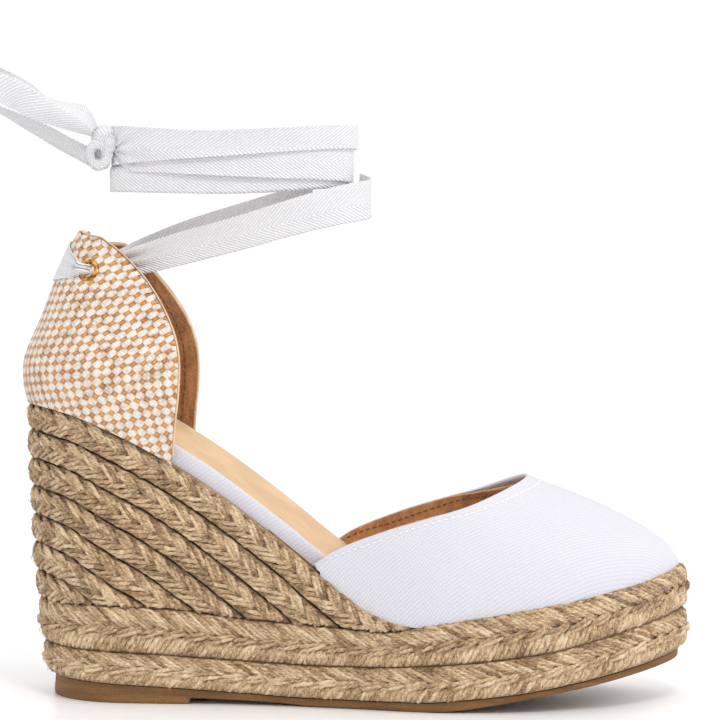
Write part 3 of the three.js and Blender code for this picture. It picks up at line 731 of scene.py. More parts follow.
def zigzag(turn):
    """A cosine pulled nearly straight between its turns."""
    return np.arcsin(0.94 * np.cos(turn)) / math.asin(0.94)


def chevron_plait(cloth, course, keep):
    """Flat plait of four strands that pass over at the edges and under at the middle."""
    strands, period, per_period = 4, 30.0, 28
    s = np.arange(0, course.length, period / per_period)
    for number in range(strands):
        turn = 2 * np.pi * (s / period + number / strands)
        v = (course.half_at(s) - YARN) * zigzag(turn)
        out = -(YARN + CROSSING) + CROSSING * np.sin(2 * turn)
        spread = np.where(v > 0, 1.2, 1.7)
        strand(cloth, course, s, v, out, 3, spread, YARN, 1.3, keep)


def platform_plait(cloth, course):
    """Sandal-maker's plait: broad strands above, a thin chain, and a tight rope below."""
    def lay(centre, reach, strands, period, per_period, yarns, spread, radius, relief, rising,
            shades):
        turns = round(course.length / period)
        s = np.linspace(0, course.length, turns * per_period + 1)
        half = course.half_at(s)
        for number in range(strands):
            turn = 2 * np.pi * (turns * s / course.length + number / strands)
            v = centre * half - rising * (reach * half - radius) * zigzag(turn)
            out = -(radius + CROSSING) + relief * np.sin(turn)
            strand(cloth, course, s, v, out, yarns, spread, radius, 1.0, None, shades, 0.7)
    lay(0.55, 0.5, 4, 21.0, 20, 3, 1.25, 0.76, 1.0, -1, 0.3)
    lay(-0.04, 0.24, 2, 17.0, 16, 2, 1.35, 0.78, 1.9, 1, 0.35)
    lay(-0.56, 0.45, 4, 8.8, 12, 1, 1.0, 1.04, 1.1, 1, 0.15)


def backing(cloth, t, side, low, high, loop):
    """Inner face that closes the plait behind its strands, in a low tone as painted shade seen through
    the gaps.
    """
    front, back = BACKING_DEPTHS
    corners = [(low, back), (low, front), (high, front), (high, back)]
    points = np.stack([sole_point(t, side, inset, line) for line, inset in corners], 1)
    coords = woven(np.arange(len(corners) + 1) * 2.5, np.arange(len(t) + (not loop)) * 2.0)
    if loop:
        points = points[:-1]
    # The tone 0.3, below the yarns', is painted shade.
    cloth.grid(points, coords, 0.3, ring=True, loop=loop, caps=not loop)


def stray_fibres(cloth, course, number, keep):
    """Fine loose fibres that lie over the plait or stand a little off it."""
    for _ in range(number):
        s0 = rng.uniform(2, course.length - 2)
        reach, lift = rng.uniform(2, 6.5), rng.choice((0.15, 0.3, 0.3, 1.3))
        heading = rng.gauss(-0.5, 0.7)
        q = np.linspace(0, 1, 6)
        v0 = rng.uniform(-0.85, 0.85) * float(course.half_at(s0))
        bend = rng.uniform(-1.2, 1.2) * q * q
        s = np.clip(s0 + reach * (q * math.cos(heading) - bend * math.sin(heading)), 0,
                    course.length)
        v = v0 + reach * (q * math.sin(heading) + bend * math.cos(heading))
        rim = np.abs(v / course.half_at(s))
        if rim.max() > 1.05:
            continue
        out = -0.25 - 1.6 * rim ** 3 + lift * np.sin(q * rng.uniform(1.6, 3.0))
        line = course.point(s, v, out)
        if keep is not None and not keep(line).all():
            continue
        across = np.broadcast_to(course.at(np.array([s0]), course.out)[0], line.shape) + 0.01
        cloth.tube(line, across, 0.085 * (1.05 - 0.75 * q), 3, rng.uniform(0.2, 1.0))


def round_heel(end, count):
    """Stations and sides from a point on the inner side, round the heel, to one on the outer."""
    t = np.linspace(0, end, count)
    sides = np.concatenate([np.full(len(t), MEDIAL), np.full(len(t) - 1, LATERAL)])
    return np.concatenate([t[::-1], t[1:]]), sides


def make_wedge_rows():
    for row in range(ROW_COUNT):
        top, bottom = row_line(row), row_line(row + 1)
        high, low = raised(top, -ROW_GAP / 2), raised(bottom, ROW_GAP / 2)
        inner_low = lambda x, low=low: np.maximum(low(x), platform_top(x) + ROW_GAP / 2)

        def end_where(room):
            """First station where the row is no more than this high over the platform."""
            t = 0.02
            while top(x_at(t)) - platform_top(x_at(t)) > room:
                t += 0.002
            return t
        course = Course(*round_heel(end_where(0.5), SIDE_STATIONS), low, high)
        keep = lambda line: line[:, 2] > platform_top(line[:, 0]) + 0.3
        cloth = Cloth()
        chevron_plait(cloth, course, keep)
        ts, sides = round_heel(end_where(THINNEST_ROW), SIDE_STATIONS // 2)
        backing(cloth, ts, sides, inner_low, high, False)
        stray_fibres(cloth, course, int(FIBRES_PER_MM * course.length), keep)
        cloth.piece(f"jute_wedge_row_{row + 1}", "shoe", [f"wedge_plait_{row + 1}"], "jute_plait",
                    "jute", sharp=180)


def make_platform_plaits():
    t = np.linspace(0, 1, 2 * SIDE_STATIONS)
    ts = np.concatenate([t, t[::-1][1:]])
    sides = np.concatenate([np.full(len(t), LATERAL), np.full(len(t) - 1, MEDIAL)])
    for name, low, high in (("lower", raised(rubber_top, 0.15), raised(braid_line, -0.15)),
                            ("upper", raised(braid_line, 0.15), platform_top)):
        course = Course(ts, sides, low, high)
        cloth = Cloth()
        platform_plait(cloth, course)
        backing(cloth, ts, sides, low, high, True)
        stray_fibres(cloth, course, PLATFORM_FIBRES, None)
        cloth.piece(f"jute_platform_{name}", "shoe", [f"platform_plait_{name}"], "jute_plait",
                    "jute", sharp=180)


# ---------------------------------------------------------------- sole and footbed

def make_outsole():
    """Rubber sole with a heel block, a step and a finely cut forepart edge."""
    breast = station_at(HEEL_BREAST)
    stations = np.concatenate([np.linspace(0.004, breast - 0.0008, 60),
                               np.linspace(breast + 0.0008, 0.996, 260)])
    rings, coords = [], []
    for number, t in enumerate(stations):
        heel = t < breast
        ground = lambda x, heel=heel: np.zeros_like(x) if heel else np.maximum(tread_line(x), 0)
        top = raised(rubber_top, -0.3)
        notch = 0.0 if heel else 0.3 * (number % 2)
        levels = [(1.0, 0.0), (0.85, -0.12), (0.5, -0.1), (0.18, 0.0), (0.05, 0.25 + notch),
                  (0.0, 0.7 + notch)]
        wall = []
        for share, inset in levels:
            line = lambda x, share=share: mix(ground(x), top(x), share)
            wall.append([sole_point(t, side, RUBBER_INSET + inset, line)
                         for side in (LATERAL, MEDIAL)])
        lateral = [pair[0] for pair in wall]
        medial = [pair[1] for pair in wall][::-1]
        under = [mix(lateral[-1], medial[0], q) for q in (0.2, 0.4, 0.6, 0.8)]
        over = [mix(medial[-1], lateral[0], q) for q in (0.25, 0.5, 0.75)]
        rings.append(lateral + under + medial + over)
        coords.append(x_at(t))
    points = np.array(rings)
    across = np.arange(points.shape[1] + 1) * 4.0
    cloth = Cloth()
    cloth.grid(points, woven(across, coords), ring=True, caps=True)
    cloth.piece("rubber_sole", "shoe", ["rubber_outsole"], "sole_rubber", "rubber", sharp=38)


def rand_inset(x):
    return (RAND_INSET + RAND_INSET_UNDER_TOE * smooth(x, 84, 106)
            + RAND_INSET_AT_TIP * smooth(x, 205, SOLE_LENGTH))


def board_top(x):
    return deck_line(x) + BOARD_THICKNESS - BOARD_THINNING * smooth(x, 112, 150)


def make_rand():
    """Canvas strip round the edge of the footbed, rolled over at its top."""
    t = np.linspace(0, 1, 160)
    ts = np.concatenate([t, t[::-1][1:-1]])
    sides = np.concatenate([np.full(len(t), LATERAL), np.full(len(t) - 2, MEDIAL)])
    near = rand_inset(x_at(ts))
    walls = [(-0.08, 0.0), (-0.15, 0.3), (-0.12, 0.6), (0.0, 0.86), (0.25, 0.97), (0.55, 1.0),
             (0.85, 0.97), (1.0, 0.86), (1.0, 0.5), (1.0, 0.0)]
    rings = []
    for depth, share in walls:
        line = lambda x, share=share: mix(deck_line(x) - RAND_SUNK, board_top(x) + RAND_LIP, share)
        rings.append(sole_point(ts, sides, near + RAND_THICKNESS * depth, line))
    points = np.stack(rings, 1)
    steps = np.linalg.norm(np.diff(points[:, 0], axis=0, append=points[:1, 0]), axis=1)
    along = np.concatenate([[0], np.cumsum(steps)])
    across = np.array([0, 2, 4, 6, 6.5, 7, 7.5, 8, 10, 13, 14.0])
    cloth = Cloth()
    cloth.grid(points, woven(across, along), ring=True, loop=True)
    cloth.piece("footbed_edge", "shoe", ["footbed_rand"], "white_canvas", "white_canvas", sharp=80)


def make_sock():
    """Leather insole sock with a soft rounded edge and a shallow hollow under the heel."""
    stations = np.linspace(0.006, 0.99, 130)
    rings = []
    for t in stations:
        x = x_at(t)
        inset = rand_inset(x) + RAND_THICKNESS + 0.3
        ring = []
        for side, order in ((LATERAL, 1), (MEDIAL, -1)):
            edge = [(0.0, 0.3), (0.0, 0.3 + SOCK_THICKNESS * 0.6), (0.35, 0.3 + SOCK_THICKNESS)]
            ring.append([sole_point(t, side, inset + d, raised(board_top, h))
                         for d, h in edge][::order])
        lateral, medial = ring
        top = []
        for q in np.linspace(0.06, 0.94, 11):
            hollow = 0.9 * math.sin(math.pi * q) * smooth(x, 2, 20) * (1 - smooth(x, 70, 110))
            point = mix(lateral[-1], medial[0], q)
            top.append(point - np.array([0, 0, 0.25 * hollow]))
        rings.append(lateral + top + medial)
    points = np.array(rings)
    across = np.linspace(0, 60, points.shape[1] + 1)
    cloth = Cloth()
    cloth.grid(points, woven(across, x_at(stations)), ring=True, caps=True)
    cloth.piece("leather_sock", "shoe", ["insole_sock"], "insole_leather", "leather", sharp=70)


# ---------------------------------------------------------------- heel counter

def counter_y(x, z, depth):
    q = (x - counter_back(z) - depth) / (counter_round(z) - depth)
    return (counter_half(z) - depth) * round_end(q)


def counter_point(s, z, depth):
    """s runs from -1 at the lateral front edge, through 0 at the back, to 1 at the medial one."""
    along = 1 - np.cos(np.pi * np.abs(s) / 2)
    tucked = FAR_TUCK * smooth(z, 105, 162) * (1 - smooth(z, 161, 169)) * (np.sign(s) > 0)
    x = mix(counter_back(z) + depth, counter_front(z) - tucked, along)
    y = np.sign(s) * counter_y(x, z, depth)
    return np.stack(np.broadcast_arrays(x, y, z), -1)


def counter_low(s):
    """Height of the counter's lower edge."""
    along = 1 - np.cos(np.pi * np.abs(s) / 2)
    z = deck_line(mix(counter_back(COUNTER_FOOT), counter_front(COUNTER_FOOT), along))
    return deck_line(mix(counter_back(z), counter_front(z), along)) + UPPER_SEAT


def counter_high(s):
    return COUNTER_TOP - COUNTER_FALL * np.abs(s) - FAR_DROP * smooth(s, 0, 0.35)


def counter_normal(s, z):
    """Outward direction of the counter's outer face."""
    e = 0.01
    along = counter_point(s + e, z, 0.0) - counter_point(s - e, z, 0.0)
    up = counter_point(s, z + e, 0.0) - counter_point(s, z - e, 0.0)
    return unit(np.cross(along, up))


def girth_table():
    """Arc length round the counter from the middle of its back, by height and s."""
    z = np.linspace(60, 171, 56)
    s = np.linspace(0, 1, 90)
    grid = counter_point(s[None, :], z[:, None], 0.0)
    steps = np.linalg.norm(np.diff(grid, axis=1), axis=2)
    return z, s, np.concatenate([np.zeros((len(z), 1)), np.cumsum(steps, axis=1)], axis=1)


def make_basket_weave():
    """Woven counter: every cell of the lattice is a float, and the tan ones lie sunk."""
    heights, shares, girth = girth_table()
    cells = np.linalg.inv(np.array([ACROSS_CELL, UP_CELL]))
    reach = float(girth.max())
    corners = np.array([(a, z) for a in (-reach, reach) for z in (heights[0], heights[-1])])
    (x_low, y_low), (x_high, y_high) = [np.floor(f(corners @ cells, axis=0)).astype(int)
                                        for f in (np.min, np.max)]
    stops = np.array([0, (1 - TAN_SHARE) / 2, 0.5, (1 + TAN_SHARE) / 2])
    across = (np.arange(x_low, x_high + 2)[:, None] + stops).ravel()
    up = (np.arange(y_low, y_high + 2)[:, None] + stops).ravel()
    X, Y = np.meshgrid(across, up)
    arc = -(X * ACROSS_CELL[0] + Y * UP_CELL[0])
    z = X * ACROSS_CELL[1] + Y * UP_CELL[1]
    odd = (np.floor(X) + np.floor(Y)) % 2 == 1
    p = 2 * (X - np.floor(X)) - 1
    q = 2 * (Y - np.floor(Y)) - 1
    bulge = 0.1 + 0.62 * (1 - 0.6 * p ** 4) * (1 - 0.6 * q ** 4) - 0.45 * (p * q) ** 4
    height = np.where(odd & (np.maximum(np.abs(p), np.abs(q)) < 0.99), 0.08, bulge)
    level = np.clip((z - heights[0]) / (heights[1] - heights[0]), 0, len(heights) - 1.001)
    base = level.astype(int)
    part = level - base
    s = np.zeros_like(z)
    for row in range(len(heights) - 1):
        here = base == row
        for offset, weight in ((0, 1 - part[here]), (1, part[here])):
            s[here] += weight * np.interp(np.abs(arc[here]), girth[row + offset], shares,
                                          right=1.2)
    low, high = counter_low(s) - 0.9, counter_high(np.sign(arc) * s)
    inside = (s < 1.0) & (z > low) & (z < high)
    height = np.where(inside, height, 0.1)
    s = np.sign(arc) * np.minimum(s, 1.0)
    zc = np.clip(z, low, high + 0.3)
    normal = counter_normal(np.clip(s, -0.985, 0.985), zc)
    outer = counter_point(s, zc, 0.0) + normal * (height - 0.5)[..., None]
    inner = counter_point(s, zc, 0.0) - normal * (CANVAS - 0.1)
    cut_cells(outer, inner, X, Y, inside)


def cut_cells(outer, inner, X, Y, inside):
    """Keeps the grid's faces that lie inside the outline and closes them with an inner face."""
    rows, columns = X.shape
    i, j = np.meshgrid(np.arange(rows - 1), np.arange(columns - 1), indexing="ij")
    kept = (inside[:-1, :-1] | inside[1:, :-1] | inside[:-1, 1:] | inside[1:, 1:])
    i, j = i[kept], j[kept]
    quads = np.stack([i * columns + j, i * columns + j + 1, (i + 1) * columns + j + 1,
                      (i + 1) * columns + j], -1)
    used, quads = np.unique(quads, return_inverse=True)
    quads = quads.reshape(-1, 4)
    edges = np.stack([quads, np.roll(quads, -1, axis=1)], -1).reshape(-1, 2)
    codes = edges[:, 0] * len(used) + edges[:, 1]
    back = edges[:, 1] * len(used) + edges[:, 0]
    rim = edges[~np.isin(codes, back)]
    count = len(used)
    walls = np.stack([rim[:, 1], rim[:, 0], rim[:, 0] + count, rim[:, 1] + count], -1)
    coords = np.stack([X.ravel(), Y.ravel()], -1)[used]
    coords = np.concatenate([coords, coords])
    faces = np.concatenate([quads, quads[:, ::-1] + count, walls])
    centre = coords[quads].mean(axis=1, keepdims=True)
    inward = centre + (coords[quads] - centre) * 0.98
    uv = np.concatenate([inward, inward[:, ::-1], coords[walls]])
    cloth = Cloth()
    cloth.points = [outer.reshape(-1, 3)[used], inner.reshape(-1, 3)[used]]
    cloth.faces = faces.tolist()
    cloth.coords = [uv.reshape(-1, 2)]
    cloth.tones_and_shades = [np.full(2 * count, 0.5)]
    cloth.piece("basket_weave_counter", "shoe", ["counter_fabric"], "basket_weave", "basket",
                sharp=180)


def stitches(cloth, line, out, pitch, length, radius, sink=0.0):
    """Running stitch along a line: a short bent thread for each stitch."""
    steps = lengths(line)
    q = np.linspace(-1, 1, 7)
    for middle in np.arange(pitch, steps[-1] - pitch, pitch):
        s = middle + q * length / 2
        at = np.stack([np.interp(s, steps, column) for column in line.T], -1)
        way = np.stack([np.interp(s, steps, column) for column in out.T], -1)
        arch = (1 - q ** 4) * radius * 1.3 - radius - sink
        cloth.tube(at + way * arch[:, None], way, radius * (1 - 0.25 * q ** 4), 6, 0.5)


def counter_edge_line(inset, depth, count=60):
    """Line a distance inside the counter's edge: up the lateral front, over the top and down."""
    def front(side):
        low, high = float(counter_low(np.float64(1.0))) + 1, float(counter_high(side)) - 0.1
        z = high - (high - low) * np.linspace(1, 0, count) ** 1.4
        girth_here = counter_front(z) - counter_back(z)
        s = side * (1 - np.minimum(inset / np.maximum(girth_here, 6), 0.5))
        return s, counter_point(s, z - inset * 0.3, depth), counter_normal(s * 0.98, z)
    near, lateral, lateral_way = front(LATERAL)
    far, medial, medial_way = front(MEDIAL)
    turn = np.linspace(near[-1], far[-1], 15)[1:-1]
    below_top = np.full_like(turn, COUNTER_TOP - 4.5)
    over = counter_point(turn, counter_high(turn) - inset, depth)
    over_way = counter_normal(turn * 0.98 + 0.003, below_top)
    return (np.concatenate([lateral, over, medial[::-1]]),
            np.concatenate([lateral_way, over_way, medial_way[::-1]]))


def make_counter_edge():
    """Folded edge that binds the woven cloth to the lining along the front and over the top."""
    line, out = counter_edge_line(0.0, 1.6)
    section = [(-0.6, -0.2), (-0.5, 0.3), (-0.2, 0.45), (0.05, 0.35), (0.25, 0.0), (0.3, -0.9),
               (0.25, -2.0), (0.0, -2.5), (-0.6, -2.5), (-0.6, -1.2)]
    tangent = unit(np.gradient(line, axis=0))
    edgeways = unit(np.cross(tangent, out))
    points = np.stack([line + edgeways * a + out * (b + 0.6) for a, b in section], 1)
    across = np.arange(len(section) + 1) * 0.9
    cloth = Cloth()
    cloth.grid(points, woven(across, lengths(line)), ring=True, caps=True)
    cloth.piece("counter_folded_edge", "shoe", [], "basket_weave", "edge", sharp=70, level=1)


def make_counter_lining():
    s = np.linspace(-1, 1, 121)
    v = np.linspace(0, 1, 50)
    S, V = np.meshgrid(s, v, indexing="ij")
    z = mix(counter_low(S), counter_high(S), V)
    pucker = 0.12 * np.sin(S * 19) * np.sin(V * 7)
    outer = counter_point(S, z, LINING_DEPTH)
    normal = counter_normal(np.where(S == 0, 1e-4, S) * 0.985, z)
    outer = outer + normal * pucker[..., None]
    inner = outer - normal * LINING
    points = np.concatenate([outer, inner[:, ::-1]], 1)
    across = np.concatenate([v * 60, v[::-1] * 60, [0]])
    cloth = Cloth()
    cloth.grid(points, woven(across, s * 75), ring=True, caps=True)
    cloth.piece("suede_counter_lining", "shoe", ["counter_lining"], "suede_lining", "suede",
                sharp=60)
    cloth = Cloth()
    line, out = counter_edge_line(3.0, LINING_DEPTH + LINING)
    stitches(cloth, line, -out, pitch=2.7, length=1.6, radius=0.28, sink=0.1)
    cloth.piece("lining_stitches", "shoe", [], "suede_lining", "brown_thread", sharp=180)


def eyelet_frame(side):
    """Centre of an eyelet on the counter's outer face, and the outward normal."""
    y = side * float(counter_y(EYELET_X, EYELET_Z, 0))
    dx = counter_y(EYELET_X + 1, EYELET_Z, 0) - counter_y(EYELET_X - 1, EYELET_Z, 0)
    dz = counter_y(EYELET_X, EYELET_Z + 1, 0) - counter_y(EYELET_X, EYELET_Z - 1, 0)
    normal = np.array([-dx / 2, side, -dz / 2], float)
    return np.array([EYELET_X, y, EYELET_Z]), normal / np.linalg.norm(normal)


def turned(section, side, steps=48):
    """Body of revolution about an eyelet's axis, from (radius, height) pairs."""
    centre, axis = eyelet_frame(side)
    first = unit(np.cross(axis, [0, 0, 1.0]))
    second = np.cross(axis, first)
    angle = 2 * np.pi * np.arange(steps) / steps
    spokes = np.cos(angle)[:, None] * first + np.sin(angle)[:, None] * second
    radius, height = np.array(section, float).T
    points = centre + spokes[:, None] * radius[:, None] + axis * height[:, None]
    coords = np.stack(np.meshgrid(np.arange(len(section) + 1) * 0.5, np.arange(steps + 1) * 0.5), -1)
    return points, coords


def make_eyelets():
    barrel = EYELET_BORE + EYELET_WALL
    bead = [(barrel + 0.5 + 0.95 * math.cos(a), 0.75 + 0.95 * math.sin(a))
            for a in np.linspace(-0.2, math.pi * 0.95, 10)]
    section = ([(EYELET_BORE, -BARREL_DEPTH), (barrel, -BARREL_DEPTH), (barrel, 0.35),
                (EYELET_FLANGE - 0.1, 0.4)]
               + bead + [(EYELET_BORE, 0.45), (EYELET_BORE, -2.0)])
    washer = [(barrel + 0.3, -4.95), (EYELET_FLANGE, -4.95), (EYELET_FLANGE + 0.2, -4.8),
              (EYELET_FLANGE + 0.1, -4.55), (barrel + 0.5, -4.45), (barrel + 0.3, -4.5)]
    for word, side in (("lateral", LATERAL), ("medial", MEDIAL)):
        for name, shape, node in (("ring", section, "eyelet"), ("back", washer, "eyelet_washer")):
            cloth = Cloth()
            points, coords = turned(shape, side)
            cloth.grid(points, coords, ring=True, loop=True)
            cloth.piece(f"{word}_eyelet_{name}", "shoe", [f"{word}_{node}"], "gold_eyelet", "gold",
                        sharp=50)


# ---------------------------------------------------------------- toe

def toe_height(x, y, inset, depth):
    offset = y - centre_line(x)
    side = np.where(offset < 0, LATERAL, MEDIAL)
    half = np.maximum(sole_half(x, side, inset), 0.01)
    eta = np.minimum(np.abs(offset) / half, 1)
    crest = np.maximum(crest_line(x) - depth - deck_line(x), 0)
    return deck_line(x) + crest * (1 - eta ** CREST_POWER) ** (1 / CREST_POWER)


def topline_offset(x, side, inset, depth):
    crest = crest_line(x) - depth - deck_line(x)
    height = topline_height(x) - depth * smooth(x, 150, THROAT) - deck_line(x)
    share = np.clip(height / crest, 0, 1)
    return side * sole_half(x, side, inset) * (1 - share ** CREST_POWER) ** (1 / CREST_POWER)


def vamp_point(u, v, depth):
    """u runs from the lateral corner round the toe to the medial one, v from the sole up."""
    inset = UPPER_INSET + depth
    s = np.abs(2 * u - 1)
    side = np.where(u < 0.5, LATERAL, MEDIAL)
    base = sole_point(mix(1, station_at(VAMP_BACK), s), side, inset, raised(deck_line, UPPER_SEAT))
    top_x = mix(VAMP_BACK, THROAT, np.cos(np.pi * s / 2))
    top_y = centre_line(top_x) + topline_offset(top_x, side, inset, depth)
    q = 1 - np.cos(np.pi / 2 * v)
    x = mix(base[..., 0], top_x, q)
    y = mix(base[..., 1], top_y, q)
    z = np.maximum(toe_height(x, y, inset, depth), deck_line(x)) + UPPER_SEAT
    z = z - UPPER_SUNK * (1 - smooth(v, 0, 0.1))
    return np.stack([x, y, z], -1)


def vamp_shell(depth, thickness, across, up):
    """Closed shell of the toe with a rounded topline."""
    u = np.linspace(0, 1, across)
    v = np.concatenate([np.linspace(0, 0.9, up), np.linspace(0.92, 1, 8)])
    U, V = np.meshgrid(u, v, indexing="ij")
    outer, inner = vamp_point(U, V, depth), vamp_point(U, V, depth + thickness)
    top = (outer[:, -1:] + inner[:, -1:]) / 2
    rim = top + unit(outer[:, -1:] - outer[:, -3:-2]) * thickness * 0.45
    fold = 0.22 * smooth(V, 0.955, 0.965)[..., None]
    outer = outer + unit(outer - inner) * fold
    points = np.concatenate([outer, rim, inner[:, ::-1]], 1)
    x, y = points[..., 0], points[..., 1]
    lift = np.abs(points[..., 2] - crest_line(x))
    over = np.sign(y - centre_line(x)) * (np.abs(y - centre_line(x)) + lift) * 0.86
    coords = np.stack([x, over], -1)
    coords = np.concatenate([coords, coords[:, :1]], 1)
    return points, coords


def make_toe():
    cloth = Cloth()
    points, coords = vamp_shell(0.0, CANVAS, 181, 46)
    cloth.grid(points, coords, ring=True, caps=True)
    cloth.piece("canvas_toe", "shoe", ["vamp_canvas"], "white_canvas", "white_canvas", sharp=70)
    cloth = Cloth()
    points, coords = vamp_shell(LINING_DEPTH, LINING, 121, 24)
    cloth.grid(points, coords, ring=True, caps=True)
    cloth.piece("suede_toe_lining", "shoe", ["vamp_lining"], "suede_lining", "suede", sharp=70)
    u = np.linspace(0.012, 0.988, 160)
    for name, depth, way, finish, slot in (
            ("topline_stitches", 0.0, 1, "white_thread", "white_canvas"),
            ("toe_lining_stitches", LINING_DEPTH + LINING, -1, "brown_thread", "suede_lining")):
        line = vamp_point(u, np.full_like(u, 0.945), depth)
        out = unit(line - vamp_point(u, np.full_like(u, 0.945), depth + 1.0)) * way
        cloth = Cloth()
        stitches(cloth, line, out, pitch=2.5, length=1.7, radius=0.26, sink=-0.02)
        cloth.piece(name, "shoe", [], slot, finish, sharp=180)


# ---------------------------------------------------------------- ribbon

def spline(points, count):
    """Catmull-Rom curve through a few points, sampled evenly by parameter."""
    p = np.array(points, float)
    p = np.concatenate([[2 * p[0] - p[1]], p, [2 * p[-1] - p[-2]]])
    q = np.linspace(0, len(p) - 3 - 1e-9, count)
    i = q.astype(int)
    t = (q - i)[:, None]
    a, b, c, d = p[i], p[i + 1], p[i + 2], p[i + 3]
    return 0.5 * (2 * b + (c - a) * t + (2 * a - 5 * b + 4 * c - d) * t ** 2
                  + (3 * b - a - 3 * c + d) * t ** 3)


def make_ribbon(name, middle, body, nodes, loop=False, backwards=False, across=None):
    """Ribbon through a grid of points, rows along it and columns across it. backwards turns the
    herringbone round."""
    centre = middle[:, middle.shape[1] // 2]
    along = lengths(np.concatenate([centre, centre[:1]]) if loop else centre)
    length = along[-1]
    if backwards:
        along = length - along
    if across is None:
        across = np.linspace(-RIBBON_WIDTH / 2, RIBBON_WIDTH / 2, middle.shape[1])
    cloth = Cloth()
    cloth.strip(middle, across, along, loop=loop)
    piece = cloth.piece(name, body, nodes, "ribbon_cotton", "ribbon", sharp=75)
    return piece


WRAPS = {
    "upper": (45.0, 15.5, profile((32, 196.5), (77, 199.6), (122, 203.6)),
              profile((32, 210.8), (70, 208.5), (122, 211.8)), 5.0),
    "middle": (43.4, 13.9, profile((33, 194), (77, 191.9), (121, 190.8)),
               profile((33, 208), (77, 206.5), (121, 205.2)), 4.0),
    "lower": (41.8, 12.3, profile((35, 185.7), (77, 185.5), (120, 188.2)),
              profile((35, 201.2), (77, 201), (120, 203.6)), 2.0),
}
KNOT = np.array([27.6, -2.0, 201.3])


def make_wraps():
    """Flattened rings of ribbon, one over the other, pulled into pleats beside the knot."""
    turn = 2 * np.pi * np.arange(150) / 150
    column = np.concatenate([np.linspace(0, 1, 17), 1 + np.array([0.04, 0.12, 0.3, 0.6, 1.0])])
    T, C = np.meshgrid(turn, column, indexing="ij")
    front, behind = np.minimum(C, 1), np.maximum(C - 1, 0)
    V = 1 - front
    for word, (reach, half, bottom, top, drop) in WRAPS.items():
        c, s = np.cos(T), np.sin(T)
        x = LOOP_CENTRE + reach * c
        seen = top(x) - bottom(x)
        turned_up = np.maximum(RIBBON_WIDTH - seen, 0) * behind
        down = seen * front + turned_up
        inset = 0.95 * smooth(turned_up, 0.0, 0.5) + 0.3 * (behind > 0)
        z = top(x) - seen * front + turned_up - drop * (1 - s) / 2
        rear_fold = 3.8 * smooth(195.5 - z, 0, 2.5) * smooth(-c, 0.6, 1) * (word == "lower")
        x = LOOP_CENTRE + (reach - inset) * c - rear_fold
        y = -(half - inset) * s
        away = np.hypot(x - KNOT[0] - 5, z - KNOT[2] + 1)
        angle = np.arctan2(z - KNOT[2] + 1, x - KNOT[0] - 5)
        near = (s > 0) * smooth(s, 0.0, 0.3)
        pull = np.exp(-(away / 17) ** 2) * near * (word != "lower")
        pleat = 0.75 * np.sin(angle * 9 + (0.6 if word == "upper" else 2.2)) * pull
        sag = 0.35 * np.sin(x / 13 + len(word)) * np.sin(np.pi * V)
        y = y - near * (pleat + sag)
        middle = np.stack([x, y, z], -1)
        make_ribbon(f"ribbon_band_{word}", middle, "ankle_ribbon", [f"ribbon_wrap_{word}"],
                    loop=True, backwards=True, across=down - RIBBON_WIDTH / 2)


def gathered(low, high, fullness, behind=None, folds=2.5, columns=25):
    """Points between two edges. Where they are closer than the ribbon's width, fullness says how
    far the rest of it goes into folds (0 flat, 1 all of it). With behind, the direction away
    from the eye, what is left is turned up at the back of the lower edge."""
    v = np.linspace(0, 1, columns)
    flat = low[:, None] + (high - low)[:, None] * v[:, None]
    way = unit(np.cross(np.gradient((low + high) / 2, axis=0), high - low))
    width = np.linalg.norm(high - low, axis=1)
    depth = fullness * np.sqrt(np.maximum(RIBBON_WIDTH ** 2 - width ** 2, 0)) / (4 * folds)
    wave = np.sin(2 * np.pi * (v * folds + 0.1))
    points = flat + way[:, None] * (depth[:, None] * wave)[..., None]
    if behind is None:
        return points
    laid = np.sqrt(width ** 2 + (4 * folds * depth) ** 2)
    hem = np.clip(RIBBON_WIDTH - laid, 0, 0.94 * width)
    set_back = 0.9 * np.minimum(hem, 1)
    turned = [points[:, 0] + unit(high - low) * (hem * q)[:, None]
              + behind * (set_back * min(1, 0.35 + 4 * q))[:, None]
              for q in (1.0, 0.6, 0.3, 0.1, 0.0)]
    return np.concatenate([np.stack(turned, 1), points], 1)


def make_runs():
    """The two ends of the ribbon, from the eyelets up to the ankle."""
    stops = {
        "lateral": [(27.5, -7.2, 157, 4), (34, -8, 158.2, 7), (45, -10.4, 161, 10.5),
                    (60, -14, 165.5, 11.8), (80, -15.5, 171, 12.2), (100, -12.5, 177, 13),
                    (115, -8, 180.8, 13.8), (124, -3, 182.3, 14), (126.5, 2.5, 183, 14),
                    (121.5, 8.5, 184.5, 14)],
        "medial": [(27.5, 7.2, 157, 4), (34, 8, 158.8, 7), (45, 10.4, 162.5, 10.5),
                   (60, 13.5, 168, 11.5), (80, 12, 174.2, 12), (95, 7.5, 179, 12),
                   (106, 2.5, 182, 12)],
    }
    for word, points in stops.items():
        path = spline(points, 110)
        centre, width = path[:, :3], path[:, 3]
        tangent = unit(np.gradient(centre, axis=0))
        up = np.array([0, 0, 1.0]) - tangent * tangent[:, 2:3]
        up = unit(up) * width[:, None] / 2
        x = centre[:, 0]
        fullness = 1 - 0.95 * smooth(x, 30, 52)
        lean = np.zeros_like(centre)
        if word == "lateral":
            lean[:, 1] = 1.6 * smooth(x, 40, 70) * (1 - smooth(x, 95, 120))
        behind = np.array([0, 1.0 if word == "lateral" else -1.0, 0])
        middle = gathered(centre - up + lean, centre + up - lean, fullness, behind)
        make_ribbon(f"ribbon_run_{word}", middle, "ankle_ribbon", [f"ribbon_{word}_run"])


